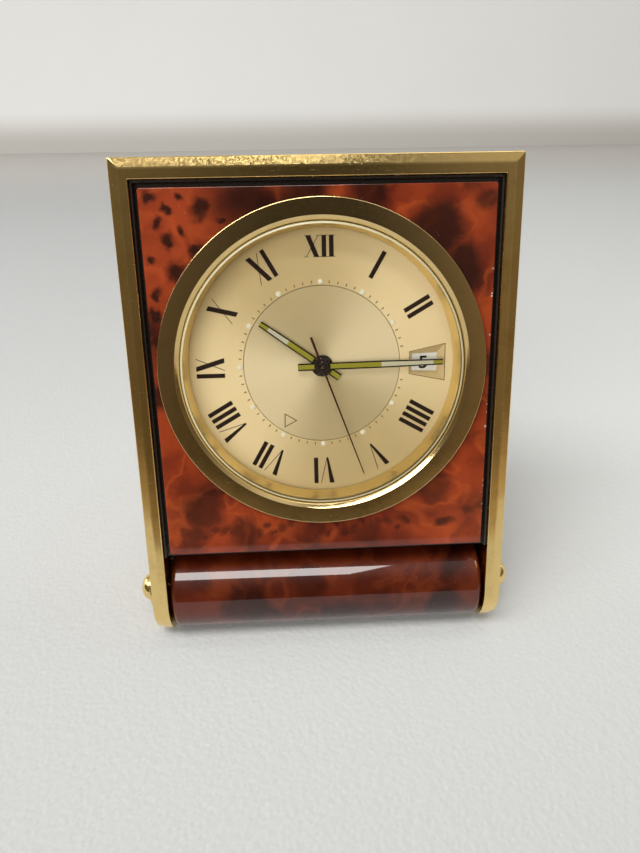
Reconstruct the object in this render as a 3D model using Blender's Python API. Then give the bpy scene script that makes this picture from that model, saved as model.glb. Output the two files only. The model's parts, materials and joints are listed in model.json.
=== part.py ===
"""Folding travel alarm clock: a brass and lacquer case whose cover swings behind to become the stand.

The clock is drawn upright in its own frame, in millimetres: X to the right, D towards the viewer and
H up, with the cover's hinge axis (the axis of the lacquered roll) at D = 0, H = 0. An empty on that
axis leans the whole clock back, and a second empty there carries the opened cover. Blender's axes are
(X, -D, H), in metres.
"""
from math import asin, atan, cos, degrees, hypot, pi, radians, sin

import bmesh
import bpy

for old in list(bpy.data.objects):
    bpy.data.objects.remove(old, do_unlink=True)

MM = 0.001

# ---------------------------------------------------------------- driving dimensions, millimetres
WIDTH = 60.0            # over the brass frame
HALF_THICK = 7.25       # half the case's thickness, and the radius of the arms' round lower ends
TOP = 71.2              # top of the frame above the hinge axis
ARM = 2.7               # width of the frame's side arms
TOP_BAR = 3.0           # height of the frame's top bar
CHAMFER = 1.4           # width of the frame's shallow outer chamfer
CHAMFER_DROP = 0.35     # depth of that chamfer
PANEL_GAP = 1.15        # dark groove between the frame and the lacquered front panel
PANEL_BOTTOM = 9.6
DIAL_H = TOP - 31.1     # height of the dial's centre
ROLL_R = 7.15
ROLL_HALF = 26.85
FIT = 0.25              # working gap between touching pieces

BEZEL_R = 25.4
BEZEL_FLAT_R = 22.8
BEZEL_PROUD = 0.65
DIAL_FRONT = HALF_THICK - 4.2
DISC_R = 12.6
CAVITY_R = 23.6

COVER_INNER = HALF_THICK + 0.3      # the closed cover's face against the front
COVER_THICK = 4.35
COVER_HALF = 31.15
COVER_NEAR = 8.0                    # the cover's edge next to the hinge
COVER_FAR = TOP
EAR_THICK = 0.9
EAR_R = 3.6
PIVOT_R = 1.0
COVER_OPEN = 272.3                  # degrees from closed, where the cover bears on the case back

# The open cover's free edge and the roll both rest on the table, which sets how far the clock leans.
reach = hypot(COVER_FAR, COVER_INNER)
cover_slope = degrees(asin(HALF_THICK / reach) + atan(COVER_INNER / COVER_FAR))
LEAN = COVER_OPEN - 270.0 + cover_slope
back_edge = COVER_FAR * cos(radians(cover_slope)) + (COVER_INNER + COVER_THICK) * sin(radians(cover_slope))
HINGE_Y = -(back_edge - HALF_THICK) / 2

# ---------------------------------------------------------------- the movement's layers and axles
PLATE = (-0.6, 0.5)                 # main plate, back and front
BRIDGE = (-4.9, -4.3)
BACK_IN = -5.7                      # inner face of the back plate
TOOTH_TIP = 0.6                     # of a tooth, in modules, outside the pitch circle
TOOTH_ROOT = 1.1                    # and inside it
GOING_MODULE = 0.25
CENTRE_TEETH, THIRD_PINION_TEETH = 64, 8
THIRD_TEETH, SECONDS_PINION_TEETH = 60, 8
SECONDS_TEETH, ESCAPE_PINION_TEETH = 70, 7
BARREL_TEETH, CENTRE_PINION_TEETH = 60, 10
CANNON_TEETH, MINUTE_TEETH = 12, 36
MINUTE_PINION_TEETH, HOUR_TEETH = 10, 40
SETTER_TEETH = 12
ALARM_TEETH, ALARM_PINION_TEETH = 54, 12
ALARM_MODULE = 0.3
SECONDS_MODULE = 0.23


def polar(radius, angle, start=(0.0, 0.0)):
    """Point in X, H at a distance and an angle (degrees, anticlockwise from X) from start."""
    return (start[0] + radius * cos(radians(angle)), start[1] + radius * sin(radians(angle)))


CENTRE_DISTANCE = GOING_MODULE * (CENTRE_TEETH + THIRD_PINION_TEETH) / 2
MOTION_DISTANCE = GOING_MODULE * (CANNON_TEETH + MINUTE_TEETH) / 2
THIRD_AT = polar(CENTRE_DISTANCE, 90)
BARREL_AT = polar(GOING_MODULE * (BARREL_TEETH + CENTRE_PINION_TEETH) / 2, 210)
ESCAPE_AT = polar(SECONDS_MODULE * (SECONDS_TEETH + ESCAPE_PINION_TEETH) / 2, 20)
MINUTE_AT = polar(MOTION_DISTANCE, 150)
SETTER_AT = polar(2 * MOTION_DISTANCE, 150)
ALARM_SETTER_AT = polar(ALARM_MODULE * (ALARM_TEETH + ALARM_PINION_TEETH) / 2, 270)
ALARM_BARREL_AT = (11.5, -10.2)
BALANCE_AT = (15.0, 5.5)
PALLET_AT = (12.34, 4.51)
HAMMER_AT = (14.5, -3.2)
STOP_AT = (13.4, 13.4)
PILLARS_AT = [polar(19.8, angle) for angle in (138, 196, 288)]
SCREWS_AT = [(x, h) for h in (15.0 - DIAL_H, 64.3 - DIAL_H) for x in (-24.2, 24.2)]


# ---------------------------------------------------------------- materials
def material(name, colour, metallic, roughness, alpha=1.0):
    mat = bpy.data.materials.new(name)
    mat.use_nodes = True
    shader = mat.node_tree.nodes["Principled BSDF"]
    shader.inputs["Base Color"].default_value = (*colour, 1.0)
    shader.inputs["Metallic"].default_value = metallic
    shader.inputs["Roughness"].default_value = roughness
    shader.inputs["Alpha"].default_value = alpha
    return mat


BRASS = material("brass", (0.56, 0.42, 0.17), 1.0, 0.28)
LACQUER = material("lacquer", (0.23, 0.035, 0.012), 0.0, 0.12)
BLACK = material("black_case", (0.02, 0.016, 0.014), 0.0, 0.6)
DIAL_GOLD = material("dial_gold", (0.75, 0.62, 0.38), 0.8, 0.4)
GLASS = material("crystal", (0.95, 0.97, 0.95), 0.0, 0.03, alpha=0.3)
STEEL = material("steel", (0.55, 0.56, 0.58), 1.0, 0.3)
BLUED = material("blued_steel", (0.03, 0.025, 0.02), 0.6, 0.35)
WHITE = material("date_white", (0.85, 0.84, 0.8), 0.0, 0.5)
LEATHER = material("leather", (0.16, 0.05, 0.03), 0.0, 0.7)
GONG = material("gong_bronze", (0.5, 0.33, 0.16), 1.0, 0.35)


# ---------------------------------------------------------------- building blocks
def empty(name, parent=None, location=(0, 0, 0), turn=0.0):
    node = bpy.data.objects.new(name, None)
    bpy.context.collection.objects.link(node)
    node.parent = parent
    node.location = location
    node.rotation_euler = (radians(turn), 0, 0)
    return node


CLOCK = empty("clock_frame", None, (0, HINGE_Y * MM, HALF_THICK * MM), -LEAN)
COVER = empty("cover_pivot", CLOCK, (0, 0, 0), COVER_OPEN)


def finish(name, bm, mat, parent, pivot=(0.0, 0.0, 0.0), smooth=35):
    """Makes an object of a mesh given in X, D, H millimetres, with its origin at pivot."""
    for v in bm.verts:
        x, d, h = v.co
        v.co = ((x - pivot[0]) * MM, -(d - pivot[1]) * MM, (h - pivot[2]) * MM)
    bmesh.ops.recalc_face_normals(bm, faces=bm.faces)
    mesh = bpy.data.meshes.new(name)
    bm.to_mesh(mesh)
    bm.free()
    mesh.materials.append(mat)
    mesh.shade_smooth()
    mesh.set_sharp_from_angle(angle=radians(smooth))
    obj = bpy.data.objects.new(name, mesh)
    bpy.context.collection.objects.link(obj)
    obj.parent = parent
    obj.location = (pivot[0] * MM, -pivot[1] * MM, pivot[2] * MM)
    return obj


def add_turned(bm, profile, at, segments=32):
    """Turns a profile of (radius, D) about the D axis at (X, H).

    A profile that starts and ends on the axis is solid, with flat ends; any other closes on itself.
    """
    solid = profile[0][0] < 1e-6
    if solid and abs(profile[0][1] - profile[1][1]) < 1e-6:
        profile = profile[1:]
    if solid and abs(profile[-1][1] - profile[-2][1]) < 1e-6:
        profile = profile[:-1]
    rings = []
    for radius, d in profile:
        count = segments if radius > 1e-6 else 1
        spots = [polar(radius, 360.0 * i / segments, at) for i in range(count)]
        rings.append([bm.verts.new((x, d, h)) for x, h in spots])
    for ring in (rings[0], rings[-1]):
        if solid and len(ring) > 1:
            bm.faces.new(ring)
    pairs = list(zip(rings, rings[1:])) + ([] if solid else [(rings[-1], rings[0])])
    for a, b in pairs:
        for i in range(segments):
            j = (i + 1) % segments
            corners = [a[i % len(a)], a[j % len(a)], b[j % len(b)], b[i % len(b)]]
            unique = list(dict.fromkeys(corners))
            if len(unique) > 2:
                bm.faces.new(unique)


def add_taper(bm, low_outline, d0, high_outline, d1):
    """A solid between two outlines, carried a little past both so that it cuts clean through."""
    past = 0.1
    ends = []
    for k, d in ((-past, d0 - past), (1 + past, d1 + past)):
        outline = [(a[0] + (b[0] - a[0]) * k, a[1] + (b[1] - a[1]) * k) for a, b in zip(low_outline, high_outline)]
        ends.append([bm.verts.new((x, d, h)) for x, h in outline])
    low, high = ends
    bm.faces.new(low)
    bm.faces.new(high)
    for i in range(len(low)):
        j = (i + 1) % len(low)
        bm.faces.new((low[i], low[j], high[j], high[i]))


def add_prism(bm, outline, d0, d1):
    """Raises a closed outline of (X, H) points from D = d0 to D = d1."""
    low = [bm.verts.new((x, d0, h)) for x, h in outline]
    high = [bm.verts.new((x, d1, h)) for x, h in outline]
    bm.faces.new(low)
    bm.faces.new(high)
    for i in range(len(outline)):
        j = (i + 1) % len(outline)
        bm.faces.new((low[i], low[j], high[j], high[i]))


def add_slab(bm, outline, x0, x1):
    """Raises a closed outline of (D, H) points from X = x0 to X = x1."""
    low = [bm.verts.new((x0, d, h)) for d, h in outline]
    high = [bm.verts.new((x1, d, h)) for d, h in outline]
    bm.faces.new(low)
    bm.faces.new(high)
    for i in range(len(outline)):
        j = (i + 1) % len(outline)
        bm.faces.new((low[i], low[j], high[j], high[i]))


def box_outline(x0, x1, h0, h1):
    return [(x0, h0), (x1, h0), (x1, h1), (x0, h1)]


def rod(r, d0, d1, hole=0.0):
    """Profile of a plain rod, or of a tube when it has a hole."""
    if hole:
        return [(hole, d0), (r, d0), (r, d1), (hole, d1)]
    return [(0, d0), (r, d0), (r, d1), (0, d1)]


def at_dial(spot):
    """Moves a point given from the dial's centre into the clock's frame."""
    return (spot[0], spot[1] + DIAL_H)


def turned(name, profile, mat, at=(0.0, 0.0), segments=32, parent=None, smooth=35):
    bm = bmesh.new()
    place = at_dial(at)
    add_turned(bm, profile, place, segments)
    return finish(name, bm, mat, parent or CLOCK, (place[0], 0.0, place[1]), smooth)


def cut(target, shapes, operation="DIFFERENCE"):
    """Cuts each shape from target, or joins it; a shape is a function that fills a bmesh."""
    for number, shape in enumerate(shapes):
        bm = bmesh.new()
        shape(bm)
        name = f"{target.name}_cutter_{operation[:4].lower()}_{number}"
        cutter = finish(name, bm, BLACK, target.parent)
        cutter.hide_render = True
        cutter.display_type = "WIRE"
        modifier = target.modifiers.new(name, "BOOLEAN")
        modifier.operation = operation
        modifier.solver = "EXACT"
        modifier.object = cutter


def bore(spot, r, d0, d1, segments=20):
    """A round hole along D at a point given from the dial's centre."""
    return lambda bm: add_turned(bm, rod(r, d0, d1), at_dial(spot), segments)


def cross_bore(r, x0, x1, segments=20):
    """A round hole along X on the hinge axis."""
    ring = [polar(r, 360.0 * i / segments) for i in range(segments)]
    return lambda bm: add_slab(bm, ring, x0, x1)


def block(outline, d0, d1):
    return lambda bm: add_prism(bm, outline, d0, d1)


# ---------------------------------------------------------------- the brass frame, panel, body and roll
def arm_outline(inset, top, steps=20):
    """Side view of an arm as (D, H): down the front, round the hinge axis and up the back."""
    r = HALF_THICK - inset
    return ([(r, top)] + [polar(r, -180.0 * i / steps) for i in range(steps + 1)] + [(-r, top)])


def build_frame():
    half = WIDTH / 2
    rows = [(half - ARM, 0.0, TOP - TOP_BAR), (half - CHAMFER, 0.0, TOP - CHAMFER - 0.1),
            (half, CHAMFER_DROP, TOP)]
    bm = bmesh.new()
    sides = []
    for sign in (1, -1):
        sides.append([[bm.verts.new((sign * x, d, h)) for d, h in arm_outline(inset, top)]
                      for x, inset, top in rows])
    for inner, middle, outer in sides:
        bm.faces.new(inner)
        bm.faces.new(outer)
        for a, b in ((inner, middle), (middle, outer)):
            for i in range(len(a) - 1):
                bm.faces.new((a[i], a[i + 1], b[i + 1], b[i]))
    right, left = sides
    for end in (0, -1):
        for k in (0, 1):
            bm.faces.new((right[k][end], left[k][end], left[k + 1][end], right[k + 1][end]))
    for k in (0, 2):
        bm.faces.new((right[k][0], left[k][0], left[k][-1], right[k][-1]))
    frame = finish("case_frame", bm, BRASS, CLOCK)
    cut(frame, [cross_bore(PIVOT_R + FIT, side * (half - ARM - 1), side * (half + 1)) for side in (-1, 1)])


def build_front_panel():
    half = WIDTH / 2 - ARM - PANEL_GAP
    bm = bmesh.new()
    outline = box_outline(-half, half, PANEL_BOTTOM, TOP - TOP_BAR - PANEL_GAP)
    add_prism(bm, outline, 5.5, HALF_THICK - 0.2)
    panel = finish("front_panel", bm, LACQUER, CLOCK)
    cut(panel, [bore((0, 0), BEZEL_R - 1.2, 4, 9, 48)])


def build_case_body():
    half = WIDTH / 2 - ARM - 0.3
    bm = bmesh.new()
    add_prism(bm, box_outline(-half, half, 8.6, TOP - TOP_BAR - 0.3), -5.4, 5.25)
    body = finish("case_body", bm, BLACK, CLOCK)
    cut(body, [bore((0, 0), CAVITY_R, -6, 6, 48)] + [bore(spot, 1.0, -6, -1.5, 12) for spot in SCREWS_AT])


def build_roll():
    """The lacquered roll: a barrel with softly rounded ends, bored at each end for the pivot screws."""
    end_x, end_r, steps = 1.9, 2.4, 4
    side = [(ROLL_R - end_r * (1 - sin(radians(90.0 * i / steps))),
             ROLL_HALF - end_x * (1 - cos(radians(90.0 * i / steps)))) for i in range(steps + 1)]
    profile = [(0.0, ROLL_HALF)] + side
    profile += [(r, -x) for r, x in reversed(profile)]
    bm = bmesh.new()
    add_turned(bm, profile, (0, 0), 30)
    for v in bm.verts:
        v.co = (v.co.y, v.co.x, v.co.z)
    roll = finish("spine_roll", bm, LACQUER, CLOCK)
    sockets = [cross_bore(PIVOT_R + FIT, side * (ROLL_HALF - 2.2), side * (ROLL_HALF + 1))
               for side in (-1, 1)]
    cut(roll, sockets)


def build_pivot_screws():
    """A shank through ear and arm into the roll, under a low domed head."""
    head_r, head_x, dome = 2.4, COVER_HALF + 0.2, 1.65
    steps = 4
    profile = [(0, ROLL_HALF - 1.8), (PIVOT_R, ROLL_HALF - 1.8), (PIVOT_R, head_x), (head_r, head_x)]
    angles = [90.0 * i / steps for i in range(steps)]
    profile += [(head_r * cos(radians(a)), head_x + 0.25 + dome * sin(radians(a))) for a in angles]
    profile += [(0, head_x + 0.25 + dome)]
    for side, name in ((-1, "pivot_screw_left"), (1, "pivot_screw_right")):
        bm = bmesh.new()
        add_turned(bm, profile, (0, 0), 18)
        for v in bm.verts:
            v.co = (side * v.co.y, v.co.x, v.co.z)
        finish(name, bm, BRASS, CLOCK)


def build_back():
    half = WIDTH / 2 - ARM - 0.3
    bm = bmesh.new()
    add_prism(bm, box_outline(-half, half, 8.6, TOP - TOP_BAR - 0.3), -HALF_THICK, BACK_IN)
    plate = finish("back_plate", bm, BRASS, CLOCK)
    holes = [(BARREL_AT, 1.2), (ALARM_BARREL_AT, 1.2), (SETTER_AT, 1.1), (ALARM_SETTER_AT, 1.1),
             (STOP_AT, 1.5)] + [(spot, 1.0) for spot in SCREWS_AT]
    cut(plate, [bore(spot, r, -8, -5, 14) for spot, r in holes] + [regulator_slot])
    for number, spot in enumerate(SCREWS_AT, 1):
        turned(f"back_screw_{number}", [(0, -8.0), (1.6, -7.9), (1.6, -7.5), (0.75, -7.5), (0.75, -2.0),
                                        (0, -2.0)], BRASS, spot, 12)


REGULATOR_R = 4.6
REGULATOR_SWING = 18.0


def arc_band(centre, r0, r1, a0, a1, steps):
    """A closed band in X, H between two radii and two angles."""
    outer = [polar(r1, a0 + (a1 - a0) * i / steps, centre) for i in range(steps + 1)]
    inner = [polar(r0, a1 + (a0 - a1) * i / steps, centre) for i in range(steps + 1)]
    return outer + inner


def regulator_slot(bm):
    spread = REGULATOR_SWING + 12.0
    band = arc_band(at_dial(BALANCE_AT), REGULATOR_R - 0.8, REGULATOR_R + 0.8, -90 - spread, -90 + spread, 8)
    add_prism(bm, band, -8, -5)


# ---------------------------------------------------------------- bezel, crystal, dial and hands
def build_face():
    proud = HALF_THICK + BEZEL_PROUD
    turned("bezel", [(22.35, 5.6), (23.9, 5.6), (23.9, 7.3), (BEZEL_R, 7.3), (BEZEL_R, proud - 0.15),
                     (BEZEL_R - 0.15, proud), (BEZEL_FLAT_R, proud), (22.35, proud - 0.55)],
           BRASS, segments=56)
    turned("crystal", [(0, 6.5), (22.05, 6.5), (22.05, 7.2), (21.5, 7.45), (0, 7.45)], GLASS, segments=40)
    turned("reflector_ring", [(21.45, 3.3), (23.2, 3.3), (23.2, 5.3), (22.1, 5.3), (22.1, 6.25),
                              (21.45, 6.25)], BRASS, segments=40)
    dial_back = DIAL_FRONT - 0.3
    dial = turned("dial", rod(23.0, dial_back, DIAL_FRONT, DISC_R + 0.2), DIAL_GOLD, segments=48)
    cut(dial, [block(date_outline(0.05), dial_back - 1, DIAL_FRONT + 1)])
    build_date()
    disc = turned("alarm_disc", [(0, 2.0), (1.9, 2.0), (1.9, dial_back), (DISC_R, dial_back),
                                 (DISC_R, DIAL_FRONT), (0, DIAL_FRONT)], DIAL_GOLD, segments=40)
    cut(disc, [alarm_teeth], "UNION")
    cut(disc, [bore((0, 0), 1.5, 1, 4, 12)])


def alarm_teeth(bm):
    """The toothed rim of the wheel under the alarm disc."""
    outline = gear_outline(ALARM_TEETH, ALARM_MODULE, 270.0, at_dial((0, 0)))
    add_prism(bm, outline, 2.05, 2.25)


def date_outline(grow):
    """The date window's outline, wider on the side away from the dial's centre."""
    near, far, near_half, far_half = 14.2 - grow, 20.0 + grow, 1.8 + grow, 3.0 + grow
    return [at_dial(p) for p in ((near, -near_half), (far, -far_half), (far, far_half), (near, near_half))]


def build_date():
    """The sunken frame in the date window, whose sides slope to a small opening, and the numbered ring."""
    low, high = 2.5, DIAL_FRONT + 0.03
    bm = bmesh.new()
    add_prism(bm, date_outline(-0.05), low, high)
    frame = finish("date_frame", bm, BRASS, CLOCK)
    opening = [at_dial(p) for p in ((14.65, -1.4), (18.8, -1.55), (18.8, 1.55), (14.65, 1.4))]
    cut(frame, [lambda bm: add_taper(bm, opening, low, date_outline(-0.2), high)])
    turned("date_ring", rod(21.4, 2.0, 2.35, 14.5), WHITE, segments=40)


def baton(length, tail, width, tip, centre):
    """Outline of a straight hand that points to 12, round its boss at centre."""
    w, t = width / 2, tip / 2
    return [(centre[0] + x, centre[1] + h) for x, h in
            ((-w, -tail), (w, -tail), (w, length * 0.5), (t, length), (-t, length), (-w, length * 0.5))]


HANDS = [  # name, length, tail, width, tip width, D of the back and front, boss radius, boss bore, angle
    ("hour_hand", 11.9, 3.4, 1.15, 0.9, 3.45, 3.65, 1.75, 1.42, 305.5),
    ("minute_hand", 19.4, 3.9, 1.15, 0.9, 4.1, 4.3, 1.3, 1.02, 89.3),
    ("seconds_hand", 19.3, 5.7, 0.32, 0.22, 4.85, 5.0, 0.9, 0.33, 160.0),
]


def build_hands():
    """Each hand is drawn at 12 and turned clockwise to the time shown."""
    for name, length, tail, width, tip, back, front, boss, hole, angle in HANDS:
        place = at_dial((0, 0))
        bm = bmesh.new()
        add_prism(bm, baton(length, tail, width, tip, place), back, front)
        hand = finish(name, bm, BLUED, CLOCK, (place[0], 0.0, place[1]))
        hand.rotation_euler = (0, radians(angle), 0)
        shapes = [(rod(boss, back - 0.02, front + 0.02), "UNION"), (rod(hole, 2.5, 6.0), "DIFFERENCE")]
        for profile, operation in shapes:
            cut(hand, [lambda bm, profile=profile: add_turned(bm, profile, place, 18)], operation)


# ---------------------------------------------------------------- gears
def gear_outline(teeth, module, phase, centre):
    """Two points for each tooth, a root and a tip; one tip points along phase, in degrees."""
    pitch_r = teeth * module / 2
    points = []
    for i in range(teeth):
        points.append(polar(pitch_r + TOOTH_TIP * module, phase + 360.0 * i / teeth, centre))
        points.append(polar(pitch_r - TOOTH_ROOT * module, phase + 360.0 * (i + 0.5) / teeth, centre))
    return points


def meshing(phase, teeth, other_teeth, angle):
    """Phase of a gear that meshes with one of a known phase and lies at angle from it."""
    return angle + 180.0 - (phase - angle) * teeth / other_teeth + 180.0 / other_teeth


def gear(name, at, wheels, tubes, mat=BRASS, arbor_segments=10):
    """A wheel with its pinion and arbor. wheels: (teeth, module, phase, d0, d1); tubes: (r, d0, d1)."""
    place = at_dial(at)
    r, d0, d1 = tubes[0]
    obj = turned(name, rod(r, d0, d1), mat, at, arbor_segments)
    shapes = []
    for teeth, module, phase, low, high in wheels:
        outline = gear_outline(teeth, module, phase, place)
        shapes.append(lambda bm, outline=outline, low=low, high=high: add_prism(bm, outline, low, high))
    for radius, low, high in tubes[1:]:
        shapes.append(bore(at, radius, low, high, arbor_segments))
    cut(obj, shapes, "UNION")
    return obj


def build_going_train():
    m = GOING_MODULE
    centre_phase = 90.0
    third_m = 2 * CENTRE_DISTANCE / (THIRD_TEETH + SECONDS_PINION_TEETH)
    third_phase = meshing(centre_phase, CENTRE_TEETH, THIRD_PINION_TEETH, 90.0)
    centre = gear("centre_wheel", (0, 0),
                  [(CENTRE_TEETH, m, centre_phase, -2.6, -2.4),
                   (CENTRE_PINION_TEETH, m, 210.0, -1.25, -0.8)], [(0.62, -2.75, 4.5)])
    cut(centre, [bore((0, 0), 0.4, -4, 6, 10)])
    barrel_phase = meshing(210.0, CENTRE_PINION_TEETH, BARREL_TEETH, 210.0)
    barrel = gear("time_barrel", BARREL_AT, [(BARREL_TEETH, m, barrel_phase, -1.15, -0.9)],
                  [(6.6, -2.2, -1.0)], arbor_segments=28)
    cut(barrel, [bore(BARREL_AT, 0.7, -4, 1, 12)])
    gear("third_wheel", THIRD_AT,
         [(THIRD_PINION_TEETH, m, third_phase, -2.75, -2.25), (THIRD_TEETH, third_m, 270.0, -3.25, -3.05)],
         [(0.3, -4.15, -0.75)])
    seconds_phase = meshing(270.0, THIRD_TEETH, SECONDS_PINION_TEETH, 270.0)
    gear("seconds_wheel", (0, 0),
         [(SECONDS_PINION_TEETH, third_m, seconds_phase, -3.4, -2.95),
          (SECONDS_TEETH, SECONDS_MODULE, 20.0, -3.85, -3.65)], [(0.25, -4.15, 5.15)])
    escape_phase = meshing(20.0, SECONDS_TEETH, ESCAPE_PINION_TEETH, 20.0)
    gear("escape_wheel", ESCAPE_AT,
         [(ESCAPE_PINION_TEETH, SECONDS_MODULE, escape_phase, -3.95, -3.55)],
         [(0.25, -4.15, -0.75)])
    cut(bpy.data.objects["escape_wheel"], [escape_rim], "UNION")


def escape_rim(bm):
    """Fifteen raked club teeth round a disc."""
    points = []
    for i in range(15):
        points.append(polar(3.2, 24.0 * i, at_dial(ESCAPE_AT)))
        points.append(polar(3.1, 24.0 * i + 4.0, at_dial(ESCAPE_AT)))
        points.append(polar(2.3, 24.0 * i + 9.0, at_dial(ESCAPE_AT)))
        points.append(polar(2.3, 24.0 * i + 19.0, at_dial(ESCAPE_AT)))
    add_prism(bm, points, -1.55, -1.3)


def build_motion_work():
    m = GOING_MODULE
    hour_m = 2 * MOTION_DISTANCE / (HOUR_TEETH + MINUTE_PINION_TEETH)
    cannon = gear("cannon_pinion", (0, 0), [(CANNON_TEETH, m, 150.0, 0.8, 1.25)], [(0.95, 0.8, 4.4)],
                  arbor_segments=12)
    cut(cannon, [bore((0, 0), 0.75, 0, 6, 12)])
    minute_phase = meshing(150.0, CANNON_TEETH, MINUTE_TEETH, 150.0)
    minute = gear("minute_wheel", MINUTE_AT,
                  [(MINUTE_TEETH, m, minute_phase, 0.9, 1.15),
                   (MINUTE_PINION_TEETH, hour_m, 330.0, 1.1, 1.8)], [(0.8, 0.9, 1.8)])
    cut(minute, [bore(MINUTE_AT, 0.55, 0, 3, 12)])
    hour_phase = meshing(330.0, MINUTE_PINION_TEETH, HOUR_TEETH, 330.0)
    hour = gear("hour_wheel", (0, 0), [(HOUR_TEETH, hour_m, hour_phase, 1.45, 1.7)], [(1.35, 1.45, 3.75)],
                arbor_segments=14)
    cut(hour, [bore((0, 0), 1.08, 0, 6, 14)])
    setter_phase = meshing(minute_phase, MINUTE_TEETH, SETTER_TEETH, 150.0)
    gear("time_setting_knob", SETTER_AT, [(SETTER_TEETH, m, setter_phase, 0.85, 1.2)],
         [(0.7, -8.9, 1.2), (2.8, -9.3, -7.6)])
    alarm_phase = meshing(270.0, ALARM_TEETH, ALARM_PINION_TEETH, 270.0)
    gear("alarm_setting_knob", ALARM_SETTER_AT, [(ALARM_PINION_TEETH, ALARM_MODULE, alarm_phase, 1.95, 2.35)],
         [(0.7, -8.9, 2.35), (2.8, -9.3, -7.6)])


def build_escapement():
    """Pallet fork, balance, hairspring and regulator; the fork's jaws stand clear of the wheel's tips."""
    fork_m = at_dial(PALLET_AT)
    toward = degrees(atan((BALANCE_AT[1] - ESCAPE_AT[1]) / (BALANCE_AT[0] - ESCAPE_AT[0])))
    outline = [polar(r, toward + a, fork_m) for r, a in
               ((0.5, 20), (1.7, 8), (1.7, -8), (0.5, -20), (0.6, -90), (2.6, -108), (2.5, -122),
                (0.6, -150), (0.6, 150), (2.5, 122), (2.6, 108), (0.6, 90))]
    bm = bmesh.new()
    add_prism(bm, outline, -1.6, -1.25)
    fork = finish("pallet_fork", bm, STEEL, CLOCK, (fork_m[0], 0.0, fork_m[1]))
    cut(fork, [bore(PALLET_AT, 0.25, -1.95, -0.75, 10)], "UNION")
    build_pallet_cock()
    balance = turned("balance_wheel", rod(4.2, -2.95, -2.6, 3.5), BRASS, BALANCE_AT, 28)
    middle = at_dial(BALANCE_AT)
    spoke = box_outline(middle[0] - 3.8, middle[0] + 3.8, middle[1] - 0.3, middle[1] + 0.3)
    cut(balance, [block(spoke, -2.9, -2.65), bore(BALANCE_AT, 0.3, -4.15, -0.75, 12)], "UNION")
    build_hairspring(middle)
    lever = arc_band(middle, 0.7, 1.3, 0, 330, 14)
    bm = bmesh.new()
    add_prism(bm, lever, -5.45, -5.15)
    regulator = finish("regulator_lever", bm, STEEL, CLOCK, (middle[0], 0.0, middle[1]))
    arm = box_outline(middle[0] - 0.35, middle[0] + 0.35, middle[1] - REGULATOR_R, middle[1] - 1.0)
    pin = (BALANCE_AT[0], BALANCE_AT[1] - REGULATOR_R)
    cut(regulator, [block(arm, -5.4, -5.2), bore(pin, 0.45, -7.9, -5.2, 12)], "UNION")


def build_pallet_cock():
    """A small bridge under the balance that holds the pallet arbor, on a foot beside the fork."""
    half_width, foot_reach, direction = 0.7, 3.4, 100.0
    pallets = at_dial(PALLET_AT)
    foot = polar(foot_reach, direction, PALLET_AT)
    outline = [polar(half_width, direction + 90.0 + 180.0 * i / 6, pallets) for i in range(7)]
    outline += [polar(half_width, direction - 90.0 + 180.0 * i / 6, at_dial(foot)) for i in range(7)]
    bm = bmesh.new()
    add_prism(bm, outline, -2.45, -2.1)
    cock = finish("pallet_cock", bm, BRASS, CLOCK)
    cut(cock, [bore(foot, 0.5, -2.2, PLATE[0] - 0.1, 10)], "UNION")


def build_hairspring(middle):
    """A flat spiral strip between the balance and its cock."""
    turns, steps, r0, r1, width = 3, 14, 0.55, 2.7, 0.16
    count = turns * steps
    radii = [r0 + (r1 - r0) * i / count for i in range(count + 1)]
    outer = [polar(r + width / 2, 360.0 * i / steps, middle) for i, r in enumerate(radii)]
    inner = [polar(r - width / 2, 360.0 * i / steps, middle) for i, r in enumerate(radii)]
    bm = bmesh.new()
    add_prism(bm, outer + inner[::-1], -3.6, -3.35)
    finish("hairspring", bm, BLUED, CLOCK, (middle[0], 0.0, middle[1]))


# ---------------------------------------------------------------- plates, alarm work and controls
def build_plates():
    plate = turned("main_plate", rod(22.9, PLATE[0], PLATE[1], 1.4), BRASS, segments=40)
    through = [(SETTER_AT, 1.0), (ALARM_SETTER_AT, 1.0)]
    cut(plate, [bore(spot, r, -2, 2, 12) for spot, r in through])
    bridge = turned("train_bridge", rod(22.0, BRIDGE[0], BRIDGE[1]), BRASS, segments=40)
    through += [(STOP_AT, 1.5), (BARREL_AT, 1.2), (ALARM_BARREL_AT, 1.2)]
    window = [at_dial(p) for p in box_outline(9.2, 24.0, 0.3, 9.9)]
    cut(bridge, [bore(spot, r, -6, -3, 12) for spot, r in through] + [block(window, -6, -3)])
    bm = bmesh.new()
    add_prism(bm, [at_dial(p) for p in box_outline(9.6, 19.8, 1.2, 9.2)], BRIDGE[0], BRIDGE[1])
    finish("balance_cock", bm, BRASS, CLOCK)
    for number, spot in enumerate(PILLARS_AT, 1):
        turned(f"movement_pillar_{number}", rod(0.8, BRIDGE[1] + 0.1, PLATE[0] - 0.1), BRASS, spot, 12)
    turned("minute_post", rod(0.4, PLATE[1] + 0.1, 1.95), STEEL, MINUTE_AT, 12)


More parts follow.
